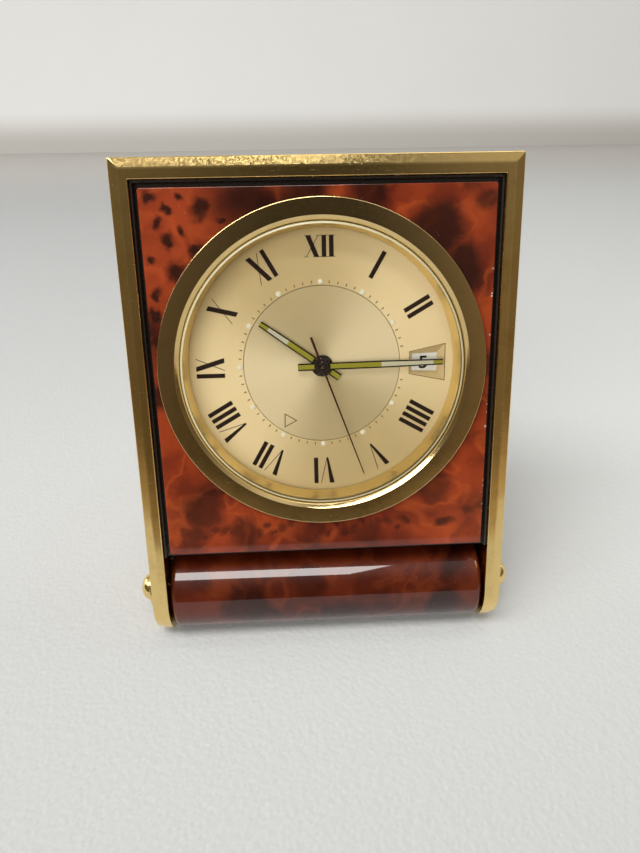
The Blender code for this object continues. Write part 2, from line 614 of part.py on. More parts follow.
def build_alarm_work():
    turned("alarm_barrel", rod(5.2, -3.4, -0.95, 0.7), BRASS, ALARM_BARREL_AT, 28)
    bm = bmesh.new()
    add_prism(bm, arc_band(at_dial((0, 0)), 21.4, 22.3, 20, 340, 32), -3.4, -2.6)
    finish("alarm_gong", bm, GONG, CLOCK)
    pivot = at_dial(HAMMER_AT)
    arm = [(pivot[0] - 0.5, pivot[1] + 0.4), (pivot[0] - 0.5, pivot[1] - 0.5),
           (pivot[0] + 4.6, pivot[1] - 2.6), (pivot[0] + 4.9, pivot[1] - 1.9), (pivot[0] + 0.4, pivot[1] + 0.5)]
    bm = bmesh.new()
    add_prism(bm, arm, -3.2, -2.9)
    hammer = finish("alarm_hammer", bm, STEEL, CLOCK, (pivot[0], 0.0, pivot[1]))
    head = (HAMMER_AT[0] + 5.0, HAMMER_AT[1] - 2.3)
    cut(hammer, [bore(head, 0.95, -3.45, -2.6, 16), bore(HAMMER_AT, 0.3, -4.15, -0.75, 10)], "UNION")
    turned("alarm_stop_button", [(0, -9.4), (1.9, -9.2), (2.1, -8.9), (2.1, -8.3), (1.2, -8.3), (1.2, -5.2),
                                 (0, -5.2)], BRASS, STOP_AT, 24)


def build_key(name, at, lean):
    """A winding key: an arbor in the barrel, a collar and a flat bow of two wings."""
    profile = [(0, -11.2), (0.75, -11.2), (0.75, -4.2), (0.4, -4.2), (0.4, -0.8), (0, -0.8)]
    key = turned(name, profile, BRASS, at, 12)
    bow = [polar(r, a + lean, at_dial(at)) for r, a in
           ((1.4, 90), (4.6, 32), (5.6, 18), (6.0, 0), (5.6, -18), (4.6, -32), (1.4, -90),
            (4.6, -148), (5.6, -162), (6.0, 180), (5.6, 162), (4.6, 148))]
    cut(key, [bore(at, 1.9, -8.9, -7.6, 18), block(bow, -11.0, -9.6), bore(at, 1.3, -9.8, -8.7, 14)], "UNION")


# ---------------------------------------------------------------- the cover
def ear_outline():
    """Round the hinge axis and up to the rim, as (D, H)."""
    far = [(COVER_INNER + COVER_THICK - 0.3, 9.0), (COVER_INNER + COVER_THICK - 0.3, 15.0),
           (COVER_INNER + 0.6, 19.0)]
    first = degrees(atan(far[0][1] / far[0][0])) - 90.0
    last = degrees(atan(far[2][1] / far[2][0])) + 90.0
    steps = 12
    round_end = [polar(EAR_R, last + (360.0 + first - last) * i / steps) for i in range(steps + 1)]
    return far + round_end


def build_cover():
    """Drawn closed, in front of the clock; its empty swings it open."""
    front = COVER_INNER + COVER_THICK
    wall = 2.2
    hole = box_outline(wall - COVER_HALF, COVER_HALF - wall, COVER_NEAR + wall, COVER_FAR - wall)
    bm = bmesh.new()
    add_prism(bm, box_outline(-COVER_HALF, COVER_HALF, COVER_NEAR, COVER_FAR), COVER_INNER, front)
    rim = finish("cover_rim", bm, BRASS, COVER)
    cut(rim, [block(hole, COVER_INNER - 1, front + 1)])
    ears = [lambda bm, side=side: add_slab(bm, ear_outline(), side * (COVER_HALF - EAR_THICK),
                                           side * (COVER_HALF - 0.02)) for side in (-1, 1)]
    cut(rim, ears, "UNION")
    cut(rim, [cross_bore(PIVOT_R + FIT, side * (COVER_HALF - 2), side * (COVER_HALF + 1)) for side in (-1, 1)])
    inset = wall + FIT
    inner = box_outline(inset - COVER_HALF, COVER_HALF - inset, COVER_NEAR + inset, COVER_FAR - inset)
    for name, mat, low, high in (("cover_panel", LACQUER, front - 1.7, front - 0.1),
                                 ("cover_lining", LEATHER, front - 2.6, front - 2.0)):
        bm = bmesh.new()
        add_prism(bm, inner, low, high)
        finish(name, bm, mat, COVER)


def main():
    build_frame()
    build_front_panel()
    build_case_body()
    build_roll()
    build_pivot_screws()
    build_back()
    build_face()
    build_hands()
    build_plates()
    build_going_train()
    build_motion_work()
    build_escapement()
    build_alarm_work()
    build_key("time_winding_key", BARREL_AT, 25)
    build_key("alarm_winding_key", ALARM_BARREL_AT, -20)
    build_cover()


main()
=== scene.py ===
"""Looks of the folding travel alarm clock.

Every piece is drawn in millimetres in the clock's own frame, as the CAD is: X to the right, D towards
the viewer and H up, from the hinge axis. Two matrices taken from the frame's joints, CLOCK and COVER,
place the pieces in the world. Pieces of the face have their origin at the dial's centre, so that
brushed and radially brushed finishes, and the wedges of sheen painted into the dial's colour, run round it.
"""

import json
from math import atan2, cos, degrees, hypot, pi, radians, sin

import bmesh
import bpy
from mathutils import Matrix, Vector

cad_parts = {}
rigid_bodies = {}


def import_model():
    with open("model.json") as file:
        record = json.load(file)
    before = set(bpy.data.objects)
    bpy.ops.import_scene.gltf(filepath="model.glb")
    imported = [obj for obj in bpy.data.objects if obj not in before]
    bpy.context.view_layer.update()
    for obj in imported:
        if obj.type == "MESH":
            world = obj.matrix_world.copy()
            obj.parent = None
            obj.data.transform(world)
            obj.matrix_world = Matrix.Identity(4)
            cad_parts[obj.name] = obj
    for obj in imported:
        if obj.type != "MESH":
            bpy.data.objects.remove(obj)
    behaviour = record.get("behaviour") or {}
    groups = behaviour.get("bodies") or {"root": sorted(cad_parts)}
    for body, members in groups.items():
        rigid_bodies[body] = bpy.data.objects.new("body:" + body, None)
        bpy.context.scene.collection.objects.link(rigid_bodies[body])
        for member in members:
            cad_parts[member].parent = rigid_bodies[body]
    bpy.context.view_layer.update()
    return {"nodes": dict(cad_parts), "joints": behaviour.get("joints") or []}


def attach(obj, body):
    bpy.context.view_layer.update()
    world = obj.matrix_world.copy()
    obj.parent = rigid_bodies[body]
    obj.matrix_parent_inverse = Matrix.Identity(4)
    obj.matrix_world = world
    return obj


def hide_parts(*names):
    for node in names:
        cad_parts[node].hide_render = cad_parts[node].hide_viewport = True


for old in list(bpy.data.objects):
    bpy.data.objects.remove(old, do_unlink=True)

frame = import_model()

MM = 0.001
joints = {joint["name"]: joint for joint in frame["joints"]}

# ---------------------------------------------------------------- the clock's frame, from the joints
HINGE = Vector(joints["cover_hinge"]["pos_m"])
DIAL_CENTRE = Vector(joints["minute_spin"]["pos_m"])
INTO = Vector(joints["minute_spin"]["axis"]).normalized()
RIGHT = Vector((1.0, 0.0, 0.0))
UP = RIGHT.cross(INTO)
CLOCK = Matrix.Translation(HINGE) @ Matrix((RIGHT, INTO, UP)).transposed().to_4x4()
COVER = CLOCK @ Matrix.Rotation(radians(-joints["cover_hinge"]["range_deg"][0]), 4, "X")
DIAL_H = (DIAL_CENTRE - HINGE).dot(UP) / MM
FACE = (0.0, 0.0, DIAL_H)


def extent(node, base=CLOCK):
    """Lowest and highest (x, d, h) of a CAD node in the clock's frame, in millimetres."""
    inverse = base.inverted()
    points = [inverse @ v.co / MM for v in frame["nodes"][node].data.vertices]
    rows = [[p.x for p in points], [-p.y for p in points], [p.z for p in points]]
    return [min(row) for row in rows], [max(row) for row in rows]


def pointing(node):
    """Angle of a hand's tip, in degrees clockwise from 12, and the hand's length."""
    inverse = CLOCK.inverted()
    points = [inverse @ v.co / MM for v in frame["nodes"][node].data.vertices]
    reach = [(hypot(p.x, p.z - DIAL_H), p.x, p.z - DIAL_H) for p in points]
    far = max(r for r, x, h in reach)
    tips = [(x, h) for r, x, h in reach if r > far - 0.02]
    x, h = (sum(v) / len(tips) for v in zip(*tips))
    return degrees(atan2(x, h)), hypot(x, h)


HALF, FRONT, TOP = extent("case_frame")[1]
PANEL_LOW, PANEL_HIGH = extent("front_panel")
BODY_FRONT = extent("case_body")[1][1]
ROLL_HIGH = extent("spine_roll")[1]
DIAL_FRONT = extent("dial")[1][1]
DISC_R = extent("alarm_disc")[1][0]
BEZEL_R, BEZEL_TOP, _ = extent("bezel")[1]
CRYSTAL_LOW, CRYSTAL_HIGH = extent("crystal")
RING_LOW, RING_HIGH = extent("date_ring")

# Details of the front that the CAD holds too, in millimetres.
ARM = 2.7
TOP_BAR = 3.0
CHAMFER = 1.4
CHAMFER_DROP = 0.35
BEZEL_FLAT_R = 22.8
REHAUT_R = 21.45
COVER_WALL = 2.2


# ---------------------------------------------------------------- node materials
def tinted(colour, *factors):
    """A colour times one factor, or times one for each of its parts."""
    return tuple(c * f for c, f in zip(colour, factors if len(factors) == 3 else factors * 3))


class Nodes:
    """A node tree filled by short calls; sockets and plain values mix freely."""

    def __init__(self, tree):
        self.tree = tree

    def put(self, socket, value):
        if isinstance(value, bpy.types.NodeSocket):
            self.tree.links.new(value, socket)
        else:
            socket.default_value = value

    def add(self, kind, inputs=None, **settings):
        node = self.tree.nodes.new("ShaderNode" + kind)
        for key, value in settings.items():
            setattr(node, key, value)
        for key, value in (inputs or {}).items():
            self.put(node.inputs[key], value)
        return node

    def maths(self, operation, a, b=0.0):
        return self.add("Math", {0: a, 1: b}, operation=operation).outputs[0]

    def times(self, a, b):
        return self.maths("MULTIPLY", a, b)

    def most(self, a, b):
        return self.maths("MAXIMUM", a, b)

    def vector(self, operation, a, b):
        return self.add("VectorMath", {0: a, 1: b}, operation=operation).outputs[0]

    def scaled(self, a, factor):
        return self.add("VectorMath", {0: a, "Scale": factor}, operation="SCALE").outputs[0]

    def distance(self, a, x, z):
        """Distance of a from the point x, z of the X-Z plane."""
        return self.add("VectorMath", {0: a, 1: (x, 0, z)}, operation="DISTANCE").outputs["Value"]

    def mix(self, factor, a, b, blend="MIX"):
        node = self.add("Mix", data_type="RGBA", blend_type=blend)
        for index, value in ((0, factor), (6, a), (7, b)):
            if isinstance(value, tuple) and len(value) == 3:
                value = (*value, 1.0)
            self.put(node.inputs[index], value)
        return node.outputs[2]


class Look(Nodes):
    """A material that is wired to its Principled shader, with coordinates in millimetres."""

    def __init__(self, name, slot=None):
        self.material = bpy.data.materials.new(name)
        self.material.use_nodes = True
        self.slot = slot
        super().__init__(self.material.node_tree)
        self.shader = self.tree.nodes["Principled BSDF"]
        position = self.add("TexCoord").outputs["Object"]
        self.mm = self.add("Mapping", {"Vector": position, "Scale": (1000, 1000, 1000)}).outputs[0]

    def set(self, **values):
        """Sets the Principled shader's sockets; underscores stand for spaces."""
        for key, value in values.items():
            if isinstance(value, tuple) and len(value) == 3:
                value = (*value, 1.0)
            self.put(self.shader.inputs[key.replace("_", " ")], value)

    def place(self, scale=(1, 1, 1), location=(0, 0, 0), turn=(0, 0, 0), vector=None):
        """Millimetre coordinates, stretched and turned."""
        inputs = {"Vector": vector or self.mm, "Scale": scale, "Location": location, "Rotation": turn}
        return self.add("Mapping", inputs).outputs[0]

    def noise(self, scale, detail=3.0, roughness=0.5, vector=None, distortion=0.0):
        inputs = {"Vector": vector or self.mm, "Scale": scale, "Detail": detail,
                  "Roughness": roughness, "Distortion": distortion}
        return self.add("TexNoise", inputs).outputs["Fac"]

    def colours(self, scale):
        return self.add("TexNoise", {"Vector": self.mm, "Scale": scale, "Detail": 3.0}).outputs["Color"]

    def cells(self, scale, vector=None, feature="F1"):
        inputs = {"Vector": vector or self.mm, "Scale": scale}
        return self.add("TexVoronoi", inputs, feature=feature).outputs["Distance"]

    def span(self, value, low, high, to_low=0.0, to_high=1.0):
        """Maps low..high to to_low..to_high with soft ends."""
        inputs = {"Value": value, "From Min": low, "From Max": high, "To Min": to_low, "To Max": to_high}
        return self.add("MapRange", inputs, interpolation_type="SMOOTHSTEP").outputs["Result"]

    def bump(self, *layers):
        """Layers of (height, strength, depth in mm), one on the other."""
        normal = None
        for height, strength, depth in layers:
            node = self.add("Bump", {"Height": height, "Strength": strength, "Distance": depth * MM})
            if normal:
                self.put(node.inputs["Normal"], normal)
            normal = node.outputs[0]
        self.put(self.shader.inputs["Normal"], normal)

    def axis(self, name):
        return self.add("SeparateXYZ", {0: self.mm}).outputs[name]

    def scratches(self, angles=(0.4, 1.3, 2.2), density=0.66, across=9.0):
        """Sparse fine lines at a few angles in the X-Z plane, 0 to 1."""
        total = 0.0
        for number, angle in enumerate(angles):
            stretched = self.place((0.22, 1.0, across), (3.1 * number, 0, 1.7 * number), (0, angle, 0))
            line = self.span(self.noise(1.0, 2.0, 0.4, stretched), density, density + 0.05)
            total = line if number == 0 else self.most(total, line)
        return total


def polished_brass(name="brass_polished", tint=(0.90, 0.66, 0.27), slot="brass", rough=0.10, wear=1.0):
    """Lacquered brass rubbed by years of pockets: hairlines, faint tarnish and a slightly uneven gloss."""
    look = Look(name, slot)
    tarnish = look.span(look.noise(0.25, 5.0, 0.6), 0.45, 0.80, 0.0, 0.6)
    grain = look.noise(2.6, 4.0, 0.6)
    dull = tinted(tint, 0.74, 0.70, 0.60)
    bright = tuple(min(1.0, c * 1.04) for c in tint)
    colour = look.mix(tarnish, bright, dull)
    lines = look.scratches((0.5, 1.9), 0.735, 14.0)
    specks = look.span(look.cells(0.8), 0.04, 0.08, 1.0, 0.0)
    marks = look.most(lines, look.times(specks, look.span(grain, 0.5, 0.62)))
    look.set(Base_Color=look.mix(look.times(marks, 0.25), colour, (0.95, 0.82, 0.55)), Metallic=1.0)
    worn = look.maths("ADD", look.span(grain, 0.3, 0.75, rough, rough + 0.10), look.times(marks, 0.16 * wear))
    look.set(Roughness=look.maths("ADD", worn, look.times(tarnish, 0.05)))
    look.bump((look.noise(0.35, 2.0, 0.5), 0.06, 0.10), (marks, 0.15 * wear, -0.01), (look.noise(14.0, 2.0), 0.03, 0.01))
    return look


def satin_brass(name="brass_brushed", tint=(0.78, 0.58, 0.27), slot="brass_satin", round_the_axis=False):
    """Straight or circular grain, for plates, wheels and the case back."""
    look = Look(name, slot)
    if round_the_axis:
        x, z = look.axis("X"), look.axis("Z")
        radius = look.maths("SQRT", look.maths("ADD", look.times(x, x), look.times(z, z)))
        grain = look.noise(1.0, 3.0, 0.6, look.add("CombineXYZ", {0: look.times(radius, 9.0)}).outputs[0])
    else:
        grain = look.noise(1.0, 4.0, 0.6, look.place((0.5, 1.0, 16.0)))
    patina = look.span(look.noise(0.22, 5.0, 0.6), 0.42, 0.75)
    dull = tinted(tint, 0.70, 0.66, 0.58)
    look.set(Base_Color=look.mix(patina, look.mix(grain, tint, tinted(tint, 0.9)), dull), Metallic=1.0)
    look.set(Roughness=look.span(grain, 0.25, 0.75, 0.22, 0.40))
    look.bump((grain, 0.30, 0.02), (look.noise(0.4), 0.06, 0.10))
    return look


def lacquer(name, clouds, offset=(0.0, 0.0, 0.0), spots=(), speckles=(), chips=None, shade=0.90):
    """Tortoiseshell lacquer under a clear gloss coat.

    clouds: dark blotches listed as (x, z, radius, darkness), in the piece's own millimetres.
    shade darkens the whole pattern; the roll's low shade is painted shade, a darker copy of the panel's lacquer.
    """
    look = Look(name, "lacquer")
    shifted = look.vector("SUBTRACT", look.colours(0.20), (0.5, 0.5, 0.5))
    bent = look.vector("ADD", look.mm, look.scaled(shifted, 5.0))
    flat = look.place((1.0, 0.0, 1.0), offset, vector=bent)
    dark = look.span(look.noise(0.085, 3.0, 0.45, flat), 0.50, 0.68, 0.0, 0.80)
    plane = look.place((1, 0, 1), vector=bent)
    for x, z, radius, strength in clouds:
        blot = look.span(look.distance(plane, x, z), radius * 0.45, radius * 1.15, strength, 0.0)
        dark = look.most(dark, blot)
    glow = 0.0
    if spots:
        mild = look.vector("ADD", look.scaled(shifted, 3.0), look.scaled(look.colours(0.75), 1.9))
        mild = look.vector("SUBTRACT", mild, (0.95, 0.95, 0.95))
        plane = look.place((1, 0, 1), vector=look.vector("ADD", look.mm, mild))
        middle = [sum(values) / len(spots) for values in zip(*((x, z) for x, z, radius in spots))]
        glow = look.span(look.distance(plane, *middle), 3.0, 13.0, 0.9, 0.0)
        dark = look.times(dark, look.maths("SUBTRACT", 1.0, glow))
        for number, (x, z, radius) in enumerate((*spots, *speckles)):
            depth = 0.93 if number < len(spots) else 0.62
            dark = look.most(dark, look.span(look.distance(plane, x, z), radius * 0.35, radius * 1.5, depth, 0.0))
    ridge = look.maths("ABSOLUTE", look.maths("SUBTRACT", look.noise(0.10, 2.0, 0.5, flat, 0.5), 0.5))
    veins = look.span(ridge, 0.0, 0.06, 1.0, 0.0)
    cloud = look.span(look.noise(0.11, 4.0, 0.5, flat), 0.34, 0.66)
    warm = look.mix(cloud, (0.105, 0.0125, 0.0040), (0.245, 0.034, 0.0080))
    warm = look.mix(look.times(veins, 0.42), warm, (0.36, 0.062, 0.012))
    warm = look.mix(look.times(glow, 0.35), warm, (0.33, 0.048, 0.011))
    colour = look.mix(dark, warm, (0.0105, 0.0026, 0.0018))
    colour = look.mix(1.0, colour, (shade, shade, shade), "MULTIPLY")
    dust = look.span(look.cells(1.6), 0.035, 0.07, 1.0, 0.0)
    dust = look.times(dust, look.span(look.noise(0.5, 2.0), 0.55, 0.62))
    if chips:
        x0, x1, z0, z1 = chips
        rows = look.span(look.cells(1.3, look.place((0.8, 0.8, 1.0))), 0.16, 0.26, 0.75, 0.0)
        band = look.times(look.span(look.axis("X"), x0, x0 + 0.15),
                          look.span(look.axis("X"), x1 - 0.1, x1, 1.0, 0.0))
        band = look.times(band, look.span(look.axis("Z"), z0, z0 + 4))
        band = look.times(band, look.span(look.axis("Z"), z1 - 4, z1, 1.0, 0.0))
        dust = look.most(dust, look.times(rows, band))
    look.set(Base_Color=look.mix(look.times(dust, 0.7), colour, (0.62, 0.55, 0.48)))
    look.set(Roughness=look.span(look.noise(0.8), 0.3, 0.7, 0.30, 0.42), Specular_IOR_Level=0.1)
    look.set(Coat_Weight=1.0, Coat_Roughness=0.035, Coat_IOR=1.55)
    look.bump((look.noise(0.25, 2.0), 0.02, 0.10), (look.scratches((0.2, 1.8), 0.72), 0.08, -0.01), (dust, 0.3, 0.02))
    return look


def dial_gold(name, tint, rough, anisotropy, burst, metallic, painted_wedge_shade=1.0):
    """Galvanic gold: radial brushing over a fine grain.

    The last argument is the tone of the dark wedges of a painted sheen: light and shade painted into the colour by
    angle round the centre. They are part of the colour, so they turn with the piece.
    """
    look = Look(name, "dial_gold")
    x, z = look.axis("X"), look.axis("Z")
    angle = look.maths("ARCTAN2", x, z)
    rays = look.noise(1.0, 3.0, 0.7, look.add("CombineXYZ", {0: look.times(angle, 60.0)}).outputs[0])
    grain = look.noise(9.0, 3.0, 0.6)
    age = look.span(look.noise(0.16, 4.0, 0.6), 0.40, 0.75)
    # Painted sheen: the colour is brighter and darker in wedges by angle round the centre, in place of the light on a
    # radial brushing.
    painted_sheen_wedges = look.maths("COSINE", look.times(look.maths("SUBTRACT", angle, radians(70.0)), 2.0))
    bright = look.span(painted_sheen_wedges, -1.0, 1.0)
    sunburst_painted_sheen = look.mix(bright, tinted(tinted(tint, painted_wedge_shade), 1.0, 0.95, 0.82), tint)
    base = look.mix(look.times(rays, burst * 0.25), sunburst_painted_sheen, tinted(tint, 0.5))
    look.set(Base_Color=look.mix(look.times(age, 0.16), base, tinted(tint, 0.9, 0.8, 0.6)))
    look.set(Roughness=look.span(grain, 0.2, 0.8, rough - 0.03, rough + 0.05), Anisotropic=anisotropy)
    look.set(Metallic=metallic, Specular_IOR_Level=0.3)
    look.put(look.shader.inputs["Tangent"], look.add("Tangent", direction_type="RADIAL", axis="Y").outputs[0])
    look.bump((rays, 0.10 * burst, 0.02), (grain, 0.08, 0.01))
    return look


def paint(name, colour, slot, rough=0.35, vary=0.25, scale=3.0, depth=0.004, coat=0.0):
    """Plain printed or painted finish with a fine uneven surface."""
    look = Look(name, slot)
    mottle = look.noise(scale, 4.0, 0.6)
    look.set(Base_Color=look.mix(mottle, tinted(colour, 1 - vary), colour))
    look.set(Roughness=look.span(mottle, 0.25, 0.75, rough - 0.06, rough + 0.08))
    if coat:
        look.set(Coat_Weight=coat, Coat_Roughness=0.05)
    look.bump((mottle, 0.2, depth))
    return look


def crystal_glass():
    look = Look("crystal_clear", "crystal")
    haze = look.span(look.noise(0.5, 4.0, 0.6), 0.35, 0.8, 0.0, 0.02)
    gloss = look.add("BsdfGlossy", {"Color": (0.97, 0.98, 0.97, 1.0), "Roughness": haze})
    clear = look.add("BsdfTransparent", {"Color": (0.985, 0.99, 0.985, 1.0)})
    fresnel = look.add("Fresnel", {"IOR": 1.33}).outputs[0]
    both = look.add("MixShader", {0: fresnel, 1: clear.outputs[0], 2: gloss.outputs[0]})
    look.put(look.tree.nodes["Material Output"].inputs["Surface"], both.outputs[0])
    look.tree.nodes.remove(look.shader)
    return look


def leather():
    look = Look("leather_grain", "leather")
    pores = look.cells(2.6)
    creases = look.cells(0.8, feature="DISTANCE_TO_EDGE")
    tone = look.mix(look.span(look.noise(0.3, 5.0, 0.6), 0.3, 0.7), (0.085, 0.022, 0.012), (0.17, 0.050, 0.026))
    # The creases are painted nearly black: painted shade in them.
    look.set(Base_Color=look.mix(look.span(creases, 0.0, 0.10, 0.55, 0.0), tone, (0.03, 0.008, 0.005)))
    look.set(Roughness=look.span(pores, 0.1, 0.6, 0.62, 0.45), Sheen_Weight=0.15)
    look.bump((look.span(creases, 0.0, 0.14), 0.5, 0.10), (pores, 0.35, 0.05))
    return look


def lume(name, colour, along=None):
    """Grainy luminous paint; along = (from, to, other colour) repaints a stretch of a hand's length."""
    look = Look(name, "hand_black" if along else "dial_gold")
    grain = look.noise(7.0, 4.0, 0.7)
    base = look.mix(grain, tinted(colour, 0.8), colour)
    if along:
        start, end, other = along
        stretch = look.times(look.span(look.axis("Z"), start - 0.12, start + 0.12),
                             look.span(look.axis("Z"), end - 0.12, end + 0.12, 1.0, 0.0))
        base = look.mix(stretch, base, other)
    look.set(Base_Color=base, Roughness=look.span(grain, 0.2, 0.8, 0.45, 0.7))
    look.bump((grain, 0.35, 0.03))
    return look


def metal(name, colour, slot, rough=0.22, scale=(0.6, 1.0, 14.0)):
    look = Look(name, slot)
    grain = look.noise(1.0, 4.0, 0.6, look.place(scale))
    look.set(Base_Color=look.mix(grain, tinted(colour, 0.85), colour), Metallic=1.0)
    look.set(Roughness=look.span(grain, 0.25, 0.75, rough - 0.05, rough + 0.12))
    look.bump((grain, 0.2, 0.015))
    return look


def table_top():
    """Pale, finely pebbled table covering. Its colour holds painted shade: darker towards the left and towards the
    front, and the warm grey of the wall's painted shade far behind.
    """
    look = Look("table_top")
    pebble = look.cells(1.25, feature="SMOOTH_F1")
    fine = look.noise(1.7, 4.0, 0.6)
    # Painted shade: darker towards the left.
    tone = look.mix(look.span(look.axis("X"), -120.0, 150.0), (0.425, 0.437, 0.445), (0.545, 0.562, 0.565))
    # Far behind, the warm grey of the wall's painted shade at its foot.
    far = look.span(look.axis("Y"), 380.0, 640.0)
    tone = look.mix(far, tone, (0.53, 0.515, 0.49))
    # Painted shade: darker towards the front.
    close = look.span(look.axis("Y"), -125.0, 40.0, 0.74, 1.0)
    tone = look.mix(1.0, tone, look.add("CombineXYZ", {0: close, 1: close, 2: close}).outputs[0], "MULTIPLY")
    look.set(Base_Color=look.mix(look.times(fine, 0.22), tone, (0.26, 0.27, 0.28)))
    look.set(Roughness=look.span(fine, 0.3, 0.7, 0.50, 0.68))
    look.bump((pebble, 0.45, 0.20), (fine, 0.16, 0.08))
    return look


def wall_paint():
    """Plain pale wall, with painted shade where it meets the table: warmer and darker there."""
    look = Look("wall_paint")
    mottle = look.noise(0.01, 3.0)
    # Painted shade: warmer and darker at the wall's foot, where it meets the table.
    painted_corner_shade = look.span(look.axis("Z"), 10.0, 50.0)
    look.set(Base_Color=look.mix(painted_corner_shade, (0.53, 0.515, 0.49), look.mix(mottle, (0.80, 0.81, 0.81), (0.84, 0.85, 0.85))))
    look.set(Roughness=0.8)
    return look


BRASS = polished_brass()
BEZEL_BRASS = polished_brass("brass_bezel", (0.80, 0.60, 0.28), rough=0.07, wear=0.8)
RIM_GOLD = metal("brass_rim_gold", (1.0, 0.83, 0.45), "brass", 0.36)
SATIN = satin_brass()
CIRCLED = satin_brass("brass_circular", round_the_axis=True)
BLACK = paint("black_case_paint", (0.016, 0.012, 0.010), "black_case", 0.30, coat=0.5)
# The dial's field and the disc have painted sheen, their dark wedges at 0.64; the date frame's painted wedges are only
# a slight change of hue.
DIAL = dial_gold("dial_field", (1.0, 0.81, 0.48), 0.44, 0.20, 0.35, 0.08, 0.64)
DISC = dial_gold("dial_sunburst", (1.0, 0.845, 0.545), 0.50, 1.0, 0.9, 0.20, 0.64)
DATE_GOLD = dial_gold("date_frame_gold", (0.90, 0.70, 0.38), 0.38, 0.0, 0.0, 0.35)
INK = paint("dial_ink", (0.022, 0.010, 0.007), "hand_black", 0.32, depth=0.004)
FAINT_INK = paint("dial_ink_faint", (0.24, 0.15, 0.06), "hand_black", 0.45, depth=0.004)
WHITE = paint("date_enamel", (0.86, 0.85, 0.80), "date_white", 0.38, 0.06, depth=0.004)
HAND = paint("hand_enamel", (0.018, 0.012, 0.010), "hand_black", 0.22, coat=0.6)
BROWN_HAND = paint("seconds_enamel", (0.055, 0.014, 0.008), "hand_black", 0.25, coat=0.4)
DOT_LUME = lume("lume_dots_paint", (1.0, 0.96, 0.76))
GLASS = crystal_glass()
# The crystal's chamfered edge is painted opaque olive-gold: a painted reflection of the brass round it.
PAINTED_GLASS_EDGE = paint("crystal_edge", (0.52, 0.47, 0.29), "crystal", 0.30, 0.15, coat=0.5)
STEEL = metal("steel_brushed", (0.60, 0.61, 0.63), "steel")
PIN_STEEL = metal("steel_polished", (0.75, 0.74, 0.72), "steel", 0.12)
BLUED = metal("steel_blued", (0.04, 0.07, 0.22), "blued_steel", 0.18)
BRONZE = metal("gong_bronze", (0.55, 0.34, 0.15), "bronze", 0.25)
LEATHER = leather()


# ---------------------------------------------------------------- making pieces
def new_object(name, data):
    obj = bpy.data.objects.new(name, data)
    bpy.context.scene.collection.objects.link(obj)
    return obj


def as_mesh(name, bm):
    mesh = bpy.data.meshes.new(name)
    bm.to_mesh(mesh)
    bm.free()
    return mesh


def piece(name, bm, look, body, *nodes, base=CLOCK, origin=(0.0, 0.0, 0.0), turn=0.0, bevel=0.0,
          bevel_steps=3, limit=30, smooth=40, more_looks=()):
    """Makes an object of a mesh in X, D, H millimetres that rides on body and stands for nodes."""
    for v in bm.verts:
        x, d, h = v.co
        v.co = ((x - origin[0]) * MM, -(d - origin[1]) * MM, (h - origin[2]) * MM)
    bm.normal_update()
    bmesh.ops.recalc_face_normals(bm, faces=bm.faces)
    mesh = as_mesh(name, bm)
    mesh.materials.append(look.material)
    for other in more_looks:
        mesh.materials.append(other.material)
    mesh.shade_smooth()
    mesh.set_sharp_from_angle(angle=radians(smooth))
    obj = new_object(name, mesh)
    at = Matrix.Translation(Vector((origin[0], -origin[1], origin[2])) * MM)
    obj.matrix_world = base @ at @ Matrix.Rotation(radians(turn), 4, "Y")
    if bevel:
        soft = obj.modifiers.new("soft_edges", "BEVEL")
        soft.width = bevel * MM
        soft.segments = bevel_steps
        soft.limit_method = "ANGLE"
        soft.angle_limit = radians(limit)
        soft.harden_normals = True
    flat = obj.modifiers.new("flat_faces", "WEIGHTED_NORMAL")
    flat.keep_sharp = True
    flat.weight = 100
    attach(obj, body)
    if nodes:
        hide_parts(*nodes)
    return obj


def polar(radius, angle, start=(0.0, 0.0)):
    return (start[0] + radius * cos(radians(angle)), start[1] + radius * sin(radians(angle)))


def clockwise(radius, angle):
    """X, H at a radius and a dial angle, clockwise from 12, from the dial's centre in the clock's frame."""
    return (radius * sin(radians(angle)), DIAL_H + radius * cos(radians(angle)))


def lathe(bm, profile, centre=(0.0, DIAL_H), segments=96):
    """Turns (radius, D) points about the D axis at centre; it is solid if it starts on the axis."""
    solid = profile[0][0] < 1e-6
    rings = []
    for radius, d in profile:
        count = segments if radius > 1e-6 else 1
        spots = [polar(radius, 360.0 * i / segments, centre) for i in range(count)]
        rings.append([bm.verts.new((x, d, h)) for x, h in spots])
    pairs = list(zip(rings, rings[1:])) + ([] if solid else [(rings[-1], rings[0])])
    for a, b in pairs:
        for i in range(segments):
            j = (i + 1) % segments
            corners = [a[i % len(a)], a[j % len(a)], b[j % len(b)], b[i % len(b)]]
            unique = list(dict.fromkeys(corners))
            if len(unique) > 2:
                bm.faces.new(unique)


def bridge(bm, a, b, closed=True):
    """Joins two equal rows of vertices with a band of faces."""
    for i in range(len(a) if closed else len(a) - 1):
        j = (i + 1) % len(a)
        bm.faces.new((a[i], a[j], b[j], b[i]))


def loft(bm, sections):
    """A closed shell through equal loops of (x, d, h); its first and last loops are capped."""
    loops = [[bm.verts.new(p) for p in section] for section in sections]
    bm.faces.new(loops[0])
    bm.faces.new(loops[-1])
    for a, b in zip(loops, loops[1:]):
        bridge(bm, a, b)


def hoop(bm, sections):
    """A closed shell through equal loops of (x, d, h), the last joined to the first."""
    loops = [[bm.verts.new(p) for p in section] for section in sections]
    for a, b in zip(loops, loops[1:] + loops[:1]):
        bridge(bm, a, b)


def prism(bm, outline, d0, d1):
    loft(bm, [[(x, d, h) for x, h in outline] for d in (d0, d1)])


